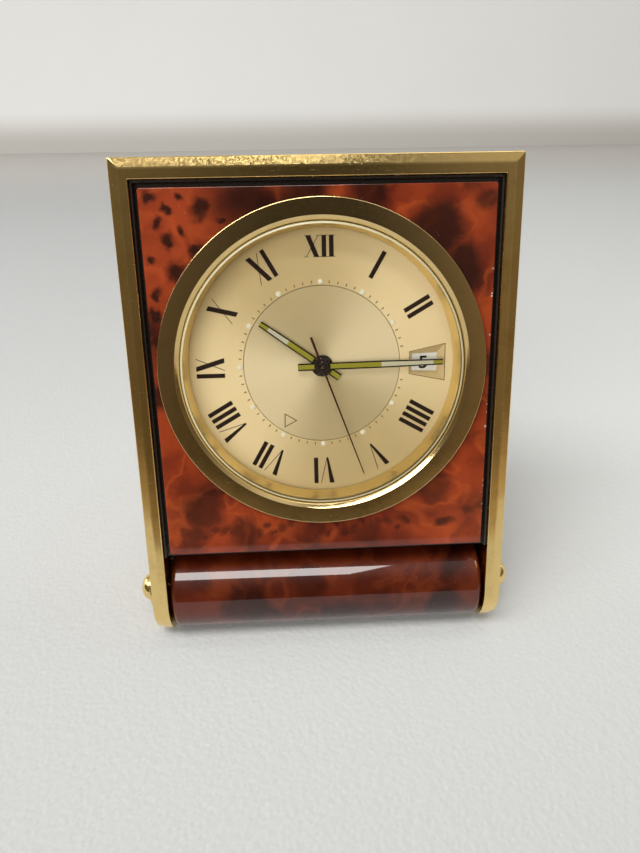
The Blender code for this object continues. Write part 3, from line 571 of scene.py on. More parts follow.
def rectangle(x0, x1, h0, h1, corner=0.0, steps=5):
    if not corner:
        return [(x0, h0), (x1, h0), (x1, h1), (x0, h1)]
    centres = [(x1 - corner, h1 - corner, 0), (x0 + corner, h1 - corner, 90),
               (x0 + corner, h0 + corner, 180), (x1 - corner, h0 + corner, 270)]
    return [polar(corner, first + 90.0 * i / steps, (x, h)) for x, h, first in centres for i in range(steps + 1)]


def swing_to_x(bm, side=1.0):
    """Turns what was made about the D axis at (0, 0) so that its axis lies along X."""
    for v in bm.verts:
        v.co = (side * v.co.y, v.co.x, v.co.z)


def carve(obj, shapes, base=CLOCK):
    """Cuts shapes, drawn in the millimetres of base, out of obj and keeps the result as plain mesh."""
    soft = list(obj.modifiers)
    for modifier in soft:
        modifier.show_viewport = False
    for shape in shapes:
        bm = bmesh.new()
        shape(bm)
        for v in bm.verts:
            v.co = (v.co.x * MM, -v.co.y * MM, v.co.z * MM)
        bm.normal_update()
        bmesh.ops.recalc_face_normals(bm, faces=bm.faces)
        cutter = new_object("cutter", as_mesh("cutter", bm))
        cutter.matrix_world = base
        cut = obj.modifiers.new("cut", "BOOLEAN")
        cut.operation = "DIFFERENCE"
        cut.solver = "EXACT"
        cut.object = cutter
        bpy.context.view_layer.update()
        before = obj.data
        obj.data = bpy.data.meshes.new_from_object(obj.evaluated_get(bpy.context.evaluated_depsgraph_get()))
        obj.modifiers.remove(cut)
        bpy.data.objects.remove(cutter, do_unlink=True)
        bpy.data.meshes.remove(before)
    for modifier in soft:
        modifier.show_viewport = True
    obj.data.shade_smooth()
    obj.data.set_sharp_from_angle(angle=radians(40))


def bore(x, h, r, d0, d1, segments=48):
    return lambda bm: lathe(bm, [(0, d0), (r, d0), (r, d1), (0, d1)], (x, h), segments)


def notch(outline, d0, d1):
    return lambda bm: prism(bm, outline, d0, d1)


def turned(name, profile, look, body, *nodes, centre=(0.0, DIAL_H), segments=96, **options):
    """A piece turned about the D axis at centre, where its origin is."""
    bm = bmesh.new()
    lathe(bm, profile, centre, segments)
    return piece(name, bm, look, body, *nodes, origin=(centre[0], 0.0, centre[1]), **options)


def slab(name, outline, d0, d1, look, body, *nodes, **options):
    """A flat piece with an outline of (x, h)."""
    bm = bmesh.new()
    prism(bm, outline, d0, d1)
    return piece(name, bm, look, body, *nodes, **options)


# ---------------------------------------------------------------- brass frame, panel, roll
def make_frame():
    """An inverted U: two arms round at the foot and a top bar, with a shallow outer chamfer."""
    steps = 60

    def outline(inset, top):
        r = FRONT - inset
        return [(r, top)] + [polar(r, -180.0 * i / steps) for i in range(steps + 1)] + [(-r, top)]

    rows = [(HALF - ARM, 0.0, TOP - TOP_BAR), (HALF - CHAMFER, 0.0, TOP - CHAMFER - 0.1),
            (HALF, CHAMFER_DROP, TOP)]
    bm = bmesh.new()
    sides = [[[bm.verts.new((sign * x, d, h)) for d, h in outline(inset, top)] for x, inset, top in rows]
             for sign in (1, -1)]
    for inner, middle, outer in sides:
        bm.faces.new(inner)
        bm.faces.new(outer)
        for a, b in ((inner, middle), (middle, outer)):
            bridge(bm, a, b, closed=False)
    right, left = sides
    for end in (0, -1):
        for k in (0, 1):
            bm.faces.new((right[k][end], left[k][end], left[k + 1][end], right[k + 1][end]))
    for k in (0, 2):
        bm.faces.new((right[k][0], left[k][0], left[k][-1], right[k][-1]))
    piece("frame_brass", bm, BRASS, "clock", "case_frame", bevel=0.16, bevel_steps=3, limit=10, smooth=60)


def make_panel():
    """The lacquered panel with rounded arrises, and the black moulding that frames its groove."""
    clouds = [(-11.0, 62.0, 8.5, 0.92), (-2.0, 65.5, 5.0, 0.9), (7.0, 66.5, 4.0, 0.85), (17.5, 60.5, 5.4, 0.9),
              (20.5, 55.0, 4.6, 0.88), (24.8, 65.0, 2.4, 0.7), (-22.0, 44.0, 3.0, 0.8), (-25.0, 36.0, 3.2, 0.85),
              (-20.0, 17.5, 3.6, 0.65), (18.0, 20.5, 3.0, 0.6), (-3.0, 11.5, 4.0, 0.55), (7.0, 11.8, 3.0, 0.55),
              (19.0, 13.6, 1.6, 0.8), (-14.0, 12.6, 3.2, 0.6), (25.0, 40.0, 3.0, 0.6)]
    half, low, high = PANEL_HIGH[0], PANEL_LOW[2], PANEL_HIGH[2]
    spots = [(-17.3, 64.0, 1.7), (-22.4, 59.7, 1.15), (-19.8, 60.9, 0.75), (-21.3, 55.5, 1.75), (-18.3, 58.1, 1.0),
             (-24.0, 61.9, 0.85), (-22.5, 63.7, 0.7), (-14.3, 62.2, 0.9), (-25.1, 48.8, 1.3), (-24.6, 52.2, 1.0),
             (-25.6, 57.0, 0.75), (-24.6, 65.6, 0.9), (-20.2, 66.0, 0.8), (-25.3, 44.8, 1.4)]
    speckles = [(1.45 * i - 23.0, 13.5 + 0.9 * sin(2.3 * i), 0.85 + 0.30 * cos(1.7 * i)) for i in range(26)]
    look = lacquer("lacquer_panel", clouds, (11.0, 0.0, 4.0), spots, speckles, (half - 0.42, half + 0.05, 12.0, 67.0))
    panel = slab("panel_lacquer", rectangle(-half, half, low, high, 0.35), PANEL_LOW[1], PANEL_HIGH[1],
                 look, "clock", "front_panel", bevel=0.32, bevel_steps=5, limit=60)
    carve(panel, [bore(0, DIAL_H, BEZEL_R - 1.2, 4, 9, 160)])
    inner = HALF - ARM
    outline = rectangle(-inner + 0.02, inner - 0.02, 8.7, TOP - TOP_BAR - 0.02)
    lip = slab("groove_moulding", outline, BODY_FRONT + 0.02, FRONT - 0.75, BLACK, "clock", bevel=0.16,
               bevel_steps=4, limit=60)
    opening = rectangle(-inner + 0.42, inner - 0.42, 7.0, TOP - TOP_BAR - 0.42)
    carve(lip, [notch(opening, 4, 9)])


def make_roll():
    """A lacquered barrel with softly rounded ends."""
    half, radius = ROLL_HIGH[0] + 0.2, ROLL_HIGH[1]
    end_x, end_r, steps = 1.1, 1.7, 12
    side = [(radius - end_r * (1 - sin(radians(90.0 * i / steps))),
             half - end_x * (1 - cos(radians(90.0 * i / steps)))) for i in range(steps + 1)]
    profile = [(0.0, half)] + side
    profile += [(r, -x) for r, x in reversed(profile)]
    bm = bmesh.new()
    lathe(bm, profile, (0, 0), 128)
    swing_to_x(bm)
    clouds = [(-14.0, -1.0, 5.0, 0.7), (20.5, -2.5, 4.6, 0.75), (-3.0, 3.0, 3.4, 0.55), (3.0, -4.0, 4.5, 0.5),
              (-21.0, 3.5, 2.2, 0.5)]
    # Painted shade: the roll's lacquer is the panel's, made about a third as bright.
    look = lacquer("lacquer_roll", clouds, (-31.0, 0.0, 17.0), shade=0.33)
    piece("roll_lacquer", bm, look, "clock", "spine_roll", smooth=50)


def make_pivot_screws():
    """Low domed heads outside the cover's ears, with a small turned step under each."""
    high = extent("pivot_screw_right")[1]
    low = extent("pivot_screw_right")[0]
    head_r, tip, seat = high[1], high[0], high[0] - 1.9
    dome = tip - seat - 0.25
    angles = [90.0 * i / 14 for i in range(14)]
    profile = [(0, low[0]), (1.0, low[0]), (1.0, seat), (head_r - 0.08, seat), (head_r, seat + 0.08)]
    profile += [(head_r * cos(radians(a)), seat + 0.25 + dome * sin(radians(a))) for a in angles]
    profile += [(0, tip)]
    for side, name in ((-1, "pivot_screw_left"), (1, "pivot_screw_right")):
        bm = bmesh.new()
        lathe(bm, profile, (0, 0), 64)
        swing_to_x(bm, side)
        piece(name + "_dome", bm, BRASS, "clock", name)


# ---------------------------------------------------------------- bezel, crystal and dial
def make_bezel():
    top = BEZEL_TOP
    turned("bezel_ring", [
        (22.12, 5.6), (23.9, 5.6), (23.9, top - 0.6), (BEZEL_R, top - 0.6), (BEZEL_R, top - 0.16),
        (BEZEL_R - 0.03, top - 0.07), (BEZEL_R - 0.09, top - 0.02), (BEZEL_R - 0.16, top),
        (BEZEL_FLAT_R + 0.10, top), (BEZEL_FLAT_R + 0.03, top - 0.02), (BEZEL_FLAT_R - 0.03, top - 0.07),
        (22.40, top - 0.42), (22.20, top - 0.62), (22.12, top - 0.85),
    ], BEZEL_BRASS, "clock", "bezel", segments=256)
    r, low, high = CRYSTAL_HIGH[0], CRYSTAL_LOW[1], CRYSTAL_HIGH[1]
    bm = bmesh.new()
    lathe(bm, [(0, low), (r, low), (r, high - 0.30), (r - 0.10, high - 0.16), (r - 0.40, high), (0, high)], segments=192)
    # Faces at the crystal's edge take the painted reflection of the brass.
    for face in bm.faces:
        edge = all(hypot(v.co.x, v.co.z - DIAL_H) > r - 0.45 for v in face.verts)
        face.material_index = 1 if edge else 0
    piece("crystal_disc", bm, GLASS, "clock", "crystal", origin=FACE, more_looks=(PAINTED_GLASS_EDGE,))
    low, high = extent("reflector_ring")
    turned("rehaut", [
        (REHAUT_R - 0.15, low[1]), (high[0], low[1]), (high[0], 5.3), (22.1, 5.3), (22.1, high[1]),
        (REHAUT_R + 0.42, high[1]), (REHAUT_R + 0.34, high[1] - 0.04), (REHAUT_R - 0.05, low[1] + 0.5),
    ], RIM_GOLD, "clock", "reflector_ring", segments=256)


DATE_OUTER = [(14.2, -1.8), (20.0, -3.0), (20.0, 3.0), (14.2, 1.8)]
DATE_INNER = [(14.65, -1.4), (18.8, -1.55), (18.8, 1.55), (14.65, 1.4)]


def make_dial():
    back = DIAL_FRONT - 0.3
    hole, rim = DISC_R + 0.09, 23.0
    dial = turned("dial_plate", [
        (hole, back), (rim, back), (rim, DIAL_FRONT), (hole + 0.05, DIAL_FRONT), (hole, DIAL_FRONT - 0.04),
    ], DIAL, "clock", "dial", segments=192)
    opening = [(x, h + DIAL_H) for x, h in DATE_OUTER]
    carve(dial, [notch(opening, back - 1, DIAL_FRONT + 1)])
    turned("alarm_disc_face", [
        (1.5, back - 0.75), (1.9, back - 0.75), (1.9, back), (DISC_R, back), (DISC_R, DIAL_FRONT - 0.04),
        (DISC_R - 0.05, DIAL_FRONT), (1.5, DIAL_FRONT),
    ], DISC, "alarm_dial", "alarm_disc", segments=192)
    make_date()
    make_dial_printing()


def make_date():
    """A sunken frame with sloping sides round the date, and the ring of 31 numbers behind it."""
    top, low = DIAL_FRONT + 0.03, RING_HIGH[1] + 0.12

    def ring(points, d, grow=0.0):
        cx = sum(x for x, h in points) / 4
        return [(x + grow * (1 if x > cx else -1), d, h + grow * (1 if h > 0 else -1) + DIAL_H) for x, h in points]

    loops = [ring(DATE_OUTER, top - 0.25, -0.02), ring(DATE_OUTER, top, -0.02), ring(DATE_OUTER, top, -0.12),
             ring(DATE_OUTER, top - 0.06, -0.17), ring(DATE_INNER, low, 0.0), ring(DATE_INNER, low - 0.05, 0.05),
             ring(DATE_OUTER, top - 0.35, -0.10)]
    bm = bmesh.new()
    hoop(bm, loops)
    outline = bmesh.new()
    for corners in zip(DATE_OUTER, DATE_OUTER[1:] + DATE_OUTER[:1]):
        (x0, h0), (x1, h1) = corners
        reach, line = hypot(x1 - x0, h1 - h0), 0.055
        ux, uh = (x1 - x0) / reach * line, (h1 - h0) / reach * line
        strip = [(x0 - ux - uh, h0 - uh + ux), (x1 + ux - uh, h1 + uh + ux), (x1 + ux + uh, h1 + uh - ux),
                 (x0 - ux + uh, h0 - uh - ux)]
        prism(outline, [(x, h + DIAL_H) for x, h in strip], top - 0.02, top + 0.01)
    piece("date_outline", outline, FAINT_INK, "clock", origin=FACE)
    piece("date_bezel", bm, DATE_GOLD, "clock", "date_frame", origin=FACE, smooth=15)
    inner_r, outer_r, low_d, high_d = 14.5, RING_HIGH[0], RING_LOW[1], RING_HIGH[1]
    turned("date_ring_disc", [(inner_r, low_d), (outer_r, low_d), (outer_r, high_d), (inner_r, high_d)],
           WHITE, "date_ring_body", "date_ring", segments=124)
    bm = bmesh.new()
    shown, days = 5, 31
    for day in range(1, days + 1):
        turn = radians(360.0 / days) * (day - shown)
        curve = bpy.data.curves.new("day", "FONT")
        curve.body = str(day)
        curve.size = 2.9 * MM
        curve.align_x = "CENTER"
        curve.extrude = 0.012 * MM
        curve.offset = 0.045 * MM
        curve.space_character = 0.9
        text = bpy.data.objects.new("day", curve)
        text_mesh = bpy.data.meshes.new_from_object(text)
        digits = bmesh.new()
        digits.from_mesh(text_mesh)
        for v in digits.verts:
            x, h = 16.6 + v.co.x / MM * (0.72 if day > 9 else 1.15), v.co.y / MM - 1.03
            d = RING_HIGH[1] + 0.012 + v.co.z / MM
            v.co = (x * cos(turn) - h * sin(turn), d, DIAL_H + x * sin(turn) + h * cos(turn))
        part = as_mesh("day", digits)
        bm.from_mesh(part)
        for block in (part, text_mesh):
            bpy.data.meshes.remove(block)
        bpy.data.objects.remove(text, do_unlink=True)
        bpy.data.curves.remove(curve)
    bmesh.ops.remove_doubles(bm, verts=bm.verts, dist=1e-4)
    piece("date_numbers", bm, INK, "date_ring_body", origin=FACE)


def stroke(bm, start, end, width0, width1, angle, d0, d1):
    """A printed stroke from start to end, in a numeral's own (across, radius), at a dial angle."""
    (u0, v0), (u1, v1) = start, end
    corners = [(u0 - width0 / 2, v0), (u0 + width0 / 2, v0), (u1 + width1 / 2, v1), (u1 - width1 / 2, v1)]
    c, s = cos(radians(angle)), sin(radians(angle))
    prism(bm, [(u * c + v * s, DIAL_H - u * s + v * c) for u, v in corners], d0, d1)


THICK, THIN, PITCH, V_WIDTH, X_WIDTH = 0.70, 0.11, 1.14, 2.25, 2.05
NUMERALS = {12: "XII", 1: "I", 2: "II", 4: "IIII", 5: "V", 6: "VI", 7: "VII", 8: "VIII", 9: "IX", 10: "X", 11: "XI"}


def make_dial_printing():
    """Roman numerals with thick and hairline strokes, dots of luminous paint, minute ticks, the pointer."""
    d0, d1 = DIAL_FRONT + 0.004, DIAL_FRONT + 0.03
    bm = bmesh.new()
    for hour, letters in NUMERALS.items():
        angle = 30.0 * hour
        low, high = (16.9, 20.15) if hour == 12 else (15.65, 20.2)
        advance = {"I": PITCH, "V": V_WIDTH + 0.42, "X": X_WIDTH + 0.42}
        u = -sum(advance[letter] for letter in letters) / 2
        for letter in letters:
            middle = u + advance[letter] / 2
            if letter == "I":
                stroke(bm, (middle, low), (middle, high), THICK, THICK, angle, d0, d1)
                if hour == 12:
                    for v in (low, high - 0.08):
                        stroke(bm, (middle, v), (middle, v + 0.08), THICK + 0.5, THICK + 0.5, angle, d0, d1)
            if letter == "V":
                reach = V_WIDTH / 2
                stroke(bm, (middle, low), (middle - reach + THICK / 2, high), 0.30, THICK + 0.10, angle, d0, d1)
                stroke(bm, (middle + 0.05, low), (middle + reach - 0.05, high), THIN, THIN, angle, d0, d1 - 0.004)
            if letter == "X":
                reach = X_WIDTH / 2 - THICK / 2
                stroke(bm, (middle + reach, low), (middle - reach, high), THICK + 0.08, THICK + 0.08, angle, d0, d1)
                slim = X_WIDTH / 2 - 0.05
                stroke(bm, (middle - slim, low), (middle + slim, high), THIN, THIN, angle, d0, d1 - 0.004)
                if hour == 12:
                    for u_end, v, width in ((-reach, high - 0.08, 1.05), (slim, high - 0.08, 0.7),
                                            (-slim, low, 0.7), (reach, low, 1.05)):
                        end = (middle + u_end, v + 0.08)
                        stroke(bm, (middle + u_end, v), end, width, width, angle, d0, d1 - 0.007)
            u += advance[letter]
    piece("dial_numerals", bm, INK, "clock", origin=FACE)
    bm = bmesh.new()
    for minute in range(60):
        if minute % 5 and minute not in (14, 16):
            stroke(bm, (0, 12.98), (0, 13.42), 0.17, 0.17, 6.0 * minute, d0, d1 - 0.005)
    piece("dial_ticks", bm, FAINT_INK, "clock", origin=FACE)
    bm = bmesh.new()
    for hour in range(12):
        if hour != 3:
            lathe(bm, [(0, d0), (0.44, d0), (0.41, d0 + 0.06), (0.26, d0 + 0.13), (0, d0 + 0.15)],
                  clockwise(13.2, 30.0 * hour), 24)
    piece("lume_dots", bm, DOT_LUME, "clock", origin=FACE)
    make_alarm_pointer(d0, d1)


def make_alarm_pointer(d0, d1):
    """An outlined triangle near the disc's edge, whose apex points outwards."""
    direction, centre_r, outer, line = 212.0, 10.66, 1.42, 0.16
    middle = clockwise(centre_r, direction)
    bm = bmesh.new()
    loops = []
    for radius, d in ((outer, d0), (outer, d1), (outer - 2 * line, d1), (outer - 2 * line, d0)):
        points = [polar(radius, 90.0 - direction + 120.0 * i, middle) for i in range(3)]
        loops.append([(x, d, h) for x, h in points])
    hoop(bm, loops)
    piece("alarm_pointer", bm, FAINT_INK, "alarm_dial", origin=FACE)


# ---------------------------------------------------------------- hands
def make_hands():
    """Channelled batons with luminous filling, open at both ends, and a thin seconds hand."""
    make_baton("hour_hand", "hour_tube", 1.75, (6.6, 10.35), 3.4)
    make_baton("minute_hand", "minute_arbor", 1.3, (9.5, 17.9), 3.9)
    angle, length = pointing("seconds_hand")
    low, high = extent("seconds_hand")
    back, front = low[1] + 0.02, high[1] - 0.02
    taper = [(-0.21, -5.1), (0.21, -5.1), (0.17, -0.8), (0.15, 2.0), (0.085, length), (-0.085, length), (-0.15, 2.0),
             (-0.17, -0.8)]
    slab("seconds_needle", [(x, h + DIAL_H) for x, h in taper], back, front, BROWN_HAND, "seconds_arbor",
         "seconds_hand", origin=FACE, turn=angle, bevel=0.03, bevel_steps=2)
    turned("seconds_boss", [
        (0, back - 0.03), (0.90, back - 0.03), (0.90, front + 0.02), (0.84, front + 0.07), (0.42, front + 0.09),
        (0, front + 0.09),
    ], HAND, "seconds_arbor", segments=64)
    top = extent("seconds_wheel")[1][1]
    turned("seconds_pin", [
        (0.13, front), (0.27, front), (0.27, top + 0.02), (0.23, top + 0.06), (0.16, top + 0.06), (0.13, top),
    ], PIN_STEEL, "seconds_arbor", segments=40)


def make_baton(node, body, boss, pale, tail):
    angle, length = pointing(node)
    low, high = extent(node)
    back, front = low[1] + 0.02, high[1] - 0.02
    wide, narrow, rail = 1.15, 0.92, 0.20
    half_way = length * 0.5

    def outline(inset):
        w, t = wide / 2 - inset, narrow / 2 - inset
        return [(-w, -tail), (w, -tail), (w, half_way), (t, length), (-t, length), (-w, half_way)]

    bm = bmesh.new()
    prism(bm, [(x, h + DIAL_H) for x, h in outline(0.0)], back, back + 0.09)
    for side in (-1, 1):
        outer, inner = outline(0.0), outline(rail)
        rows = (1, 2, 3) if side > 0 else (0, 5, 4)
        points = [outer[k] for k in rows] + [inner[k] for k in reversed(rows)]
        prism(bm, [(x, h + DIAL_H) for x, h in points], back + 0.02, front)
    lathe(bm, [(0, back - 0.01), (boss, back - 0.01), (boss, front - 0.02), (boss - 0.08, front + 0.04), (0, front + 0.06)],
          segments=72)
    piece(node + "_channel", bm, HAND, body, node, origin=FACE, turn=angle)
    look = lume(node + "_lume", (0.36, 0.33, 0.030), (*pale, (0.60, 0.58, 0.42)))
    bm = bmesh.new()
    fill = outline(rail - 0.005)
    for sign, start, end in ((1, boss - 0.3, None), (-1, None, -boss + 0.3)):
        if sign > 0:
            w, t = fill[2][0], fill[3][0]
            points = [(-w, start), (w, start), (w, half_way), (t, length - 0.01), (-t, length - 0.01), (-w, half_way)]
        else:
            w = fill[1][0]
            points = [(-w, -tail + 0.01), (w, -tail + 0.01), (w, end), (-w, end)]
        prism(bm, [(x, h + DIAL_H) for x, h in points], back + 0.05, front - 0.035)
    piece(node + "_fill", bm, look, body, origin=FACE, turn=angle)


# ---------------------------------------------------------------- the back
def centre_of(node):
    low, high = extent(node)
    return (low[0] + high[0]) / 2, (low[2] + high[2]) / 2


def make_back():
    low, high = extent("back_plate")
    plate = slab("back_plate_brushed", rectangle(low[0], high[0], low[2], high[2], 0.6), low[1], high[1],
                 SATIN, "clock", "back_plate", bevel=0.22, limit=60)
    time_key, alarm_key = centre_of("time_winding_key"), centre_of("alarm_winding_key")
    time_knob, alarm_knob = centre_of("time_setting_knob"), centre_of("alarm_setting_knob")
    stop = centre_of("alarm_stop_button")
    holes = [(time_key, 1.2), (alarm_key, 1.2), (time_knob, 1.1), (alarm_knob, 1.1), (stop, 1.5)]
    holes += [(centre_of(f"back_screw_{n}"), 1.0) for n in range(1, 5)]
    balance = centre_of("balance_wheel")
    slot_r, slot_half, spread = 4.6, 0.8, 30.0
    arc = [polar(slot_r + slot_half, -90 - spread + 2 * spread * i / 16, balance) for i in range(17)]
    arc += [polar(slot_r - slot_half, -90 + spread - 2 * spread * i / 16, balance) for i in range(17)]
    carve(plate, [bore(x, h, r, low[1] - 2, high[1] + 2) for (x, h), r in holes]
          + [notch(arc, low[1] - 2, high[1] + 2)])
    make_back_marks(low[1], time_key, alarm_key, time_knob, alarm_knob, balance)
    for number in range(1, 5):
        make_slotted_screw(f"back_screw_{number}", 35.0 * number)
    make_knob("time_setting_knob", "time_setter")
    make_knob("alarm_setting_knob", "alarm_setter")
    make_key("time_winding_key", "time_key", 25.0)
    make_key("alarm_winding_key", "alarm_key", -20.0)
    make_stop_button()


def make_back_marks(surface, time_key, alarm_key, time_knob, alarm_knob, balance):
    """Filled engraving: an arrow round each control for its direction, and the regulator's scale."""
    bm = bmesh.new()
    d0, d1 = surface - 0.02, surface - 0.004
    for (x, h), radius in ((time_key, 7.0), (alarm_key, 7.0), (time_knob, 4.0), (alarm_knob, 4.0)):
        start, sweep, steps, line = 62.0, 56.0, 18, 0.16
        outer = [polar(radius + line, start + sweep * i / steps, (x, h)) for i in range(steps + 1)]
        inner = [polar(radius - line, start + sweep * (steps - i) / steps, (x, h)) for i in range(steps + 1)]
        prism(bm, outer + inner, d0, d1)
        tip = start + sweep
        prism(bm, [polar(radius + 0.7, tip, (x, h)), polar(radius, tip + 100.0 / radius, (x, h)),
                   polar(radius - 0.7, tip, (x, h))], d0, d1)
    for step in range(-3, 4):
        inner, outer = 5.75, 6.9 if step in (-3, 0, 3) else 6.4
        a = -90.0 + 8.0 * step
        corners = [polar(inner, a - 0.8, balance), polar(outer, a - 0.8, balance), polar(outer, a + 0.8, balance),
                   polar(inner, a + 0.8, balance)]
        prism(bm, corners, d0, d1)
    piece("back_engraving", bm, INK, "clock")


def make_slotted_screw(node, turn):
    low, high = extent(node)
    middle = centre_of(node)
    radius = (high[0] - low[0]) / 2
    d = low[1]
    screw = turned(node + "_slotted", [
        (0, d), (radius - 0.25, d), (radius - 0.06, d + 0.08), (radius, d + 0.2), (radius, d + 0.5), (0.75, d + 0.5),
        (0.75, high[1]), (0, high[1]),
    ], BRASS, "clock", node, centre=middle, segments=48)
    along = [polar(3.0, turn + side, middle) for side in (-3.6, 3.6, 176.4, 183.6)]
    carve(screw, [notch(along, d - 1, d + 0.27)])


def make_knob(node, body):
    """A coin-edged setting knob on its arbor."""
    low, high = extent(node)
    x, h = centre_of(node)
    radius = (high[0] - low[0]) / 2
    teeth, depth = 36, 0.10
    outline = []
    for i in range(teeth):
        for k, r in ((0.0, radius), (0.3, radius), (0.5, radius - depth), (0.8, radius - depth)):
            outline.append(polar(r, 360.0 * (i + k) / teeth, (x, h)))

    def shrunk(factor, d):
        return [(x + (px - x) * factor, d, h + (ph - h) * factor) for px, ph in outline]

    bm = bmesh.new()
    d = low[1]
    loft(bm, [shrunk(0.60, d + 0.12), shrunk(0.66, d), shrunk(0.90, d), shrunk(0.97, d + 0.10), shrunk(1.0, d + 0.25),
              shrunk(1.0, d + 1.5), shrunk(0.95, d + 1.7)])
    lathe(bm, [(0, d + 1.6), (0.7, d + 1.6), (0.7, high[1]), (0, high[1])], (x, h), 32)
    piece(node + "_coined", bm, BRASS, body, node, origin=(x, 0.0, h), smooth=30)


def make_key(node, body, lean):
    """A folding-bow style winding key: a turned collar and stem with a flat, rounded two-winged bow."""
    low, high = extent(node)
    x, h = centre_of(node)
    back = low[1]
    turned(node + "_stem", [
        (0, back), (0.55, back), (0.75, back + 0.15), (0.75, back + 2.3), (1.3, back + 2.5), (1.45, back + 2.9),
        (1.9, back + 3.1), (1.9, back + 3.5), (0.75, back + 3.6), (0.75, back + 7.0), (0.4, back + 7.0),
        (0.4, high[1]), (0, high[1]),
    ], BRASS, body, node, centre=(x, h), segments=40)
    wing = []
    for side in (0.0, 180.0):
        for i in range(17):
            a = -62.0 + 124.0 * i / 16
            reach = 3.4 + 2.6 * cos(radians(a * 1.35))
            wing.append(polar(max(1.5, reach), a * 0.62 + side + lean, (x, h)))
    bow = slab(node + "_bow", wing, back + 0.2, back + 1.6, BRASS, body, origin=(x, 0.0, h), bevel=0.35,
               bevel_steps=4, limit=50)
    eyes = [polar(4.2, lean + side, (x, h)) for side in (0.0, 180.0)]
    carve(bow, [bore(ex, eh, 0.75, back - 1, back + 3) for ex, eh in eyes])


def make_stop_button():
    low, high = extent("alarm_stop_button")
    x, h = centre_of("alarm_stop_button")
    d, r = low[1], (high[0] - low[0]) / 2
    turned("stop_button_cap", [
        (0, d + 0.06), (0.9, d + 0.03), (1.5, d + 0.08), (1.9, d + 0.2), (r, d + 0.45), (r, d + 1.1),
        (1.2, d + 1.1), (1.2, high[1]), (0, high[1]),
    ], BRASS, "stop_button", "alarm_stop_button", centre=(x, h), segments=56)


# ---------------------------------------------------------------- the cover, drawn closed
def ear_outline(front):
    far = [(front - 0.3, 9.0), (front - 0.3, 15.0), (7.55 + 0.6, 19.0)]
    first = degrees(atan2(far[0][1], far[0][0])) - 90.0
    last = degrees(atan2(far[2][1], far[2][0])) + 90.0
    return far + [polar(3.6, last + (360.0 + first - last) * i / 32) for i in range(33)]


def make_cover():
    low, high = extent("cover_rim", COVER)
    inner, front = extent("cover_panel", COVER), high[1]
    closed = front - 4.35
    rim = slab("cover_rim_brass", rectangle(low[0], high[0], 8.0, high[2], 0.5), closed, front,
               BRASS, "cover", "cover_rim", base=COVER, bevel=0.30, limit=50)
    opening = rectangle(low[0] + COVER_WALL, high[0] - COVER_WALL, 8.0 + COVER_WALL, high[2] - COVER_WALL, 0.3)
    carve(rim, [notch(opening, closed - 1, front + 1)], COVER)
    for side, name in ((-1, "left"), (1, "right")):
        bm = bmesh.new()
        x0, x1 = side * (high[0] - 0.9), side * (high[0] - 0.02)
        loft(bm, [[(x, d, h) for d, h in ear_outline(front)] for x in (x0, x1)])
        piece(f"cover_ear_{name}", bm, BRASS, "cover", base=COVER, bevel=0.12, limit=50)
    x0, x1, h0, h1 = inner[0][0], inner[1][0], inner[0][2], inner[1][2]
    clouds = [(-12.0, 50.0, 7.0, 0.8), (9.0, 28.0, 6.0, 0.8), (16.0, 58.0, 5.0, 0.7)]
    spots = [(14.0, 22.0, 1.6), (18.0, 25.5, 1.1), (11.5, 26.0, 0.9), (19.5, 19.0, 0.8), (22.0, 22.5, 1.3)]
    look = lacquer("lacquer_cover", clouds, (40.0, 0.0, -23.0), spots)
    slab("cover_lacquer", rectangle(x0, x1, h0, h1, 0.4), inner[0][1], inner[1][1], look, "cover", "cover_panel",
         base=COVER, bevel=0.5, bevel_steps=5, limit=60)
    make_lining(x0, x1, h0, h1)


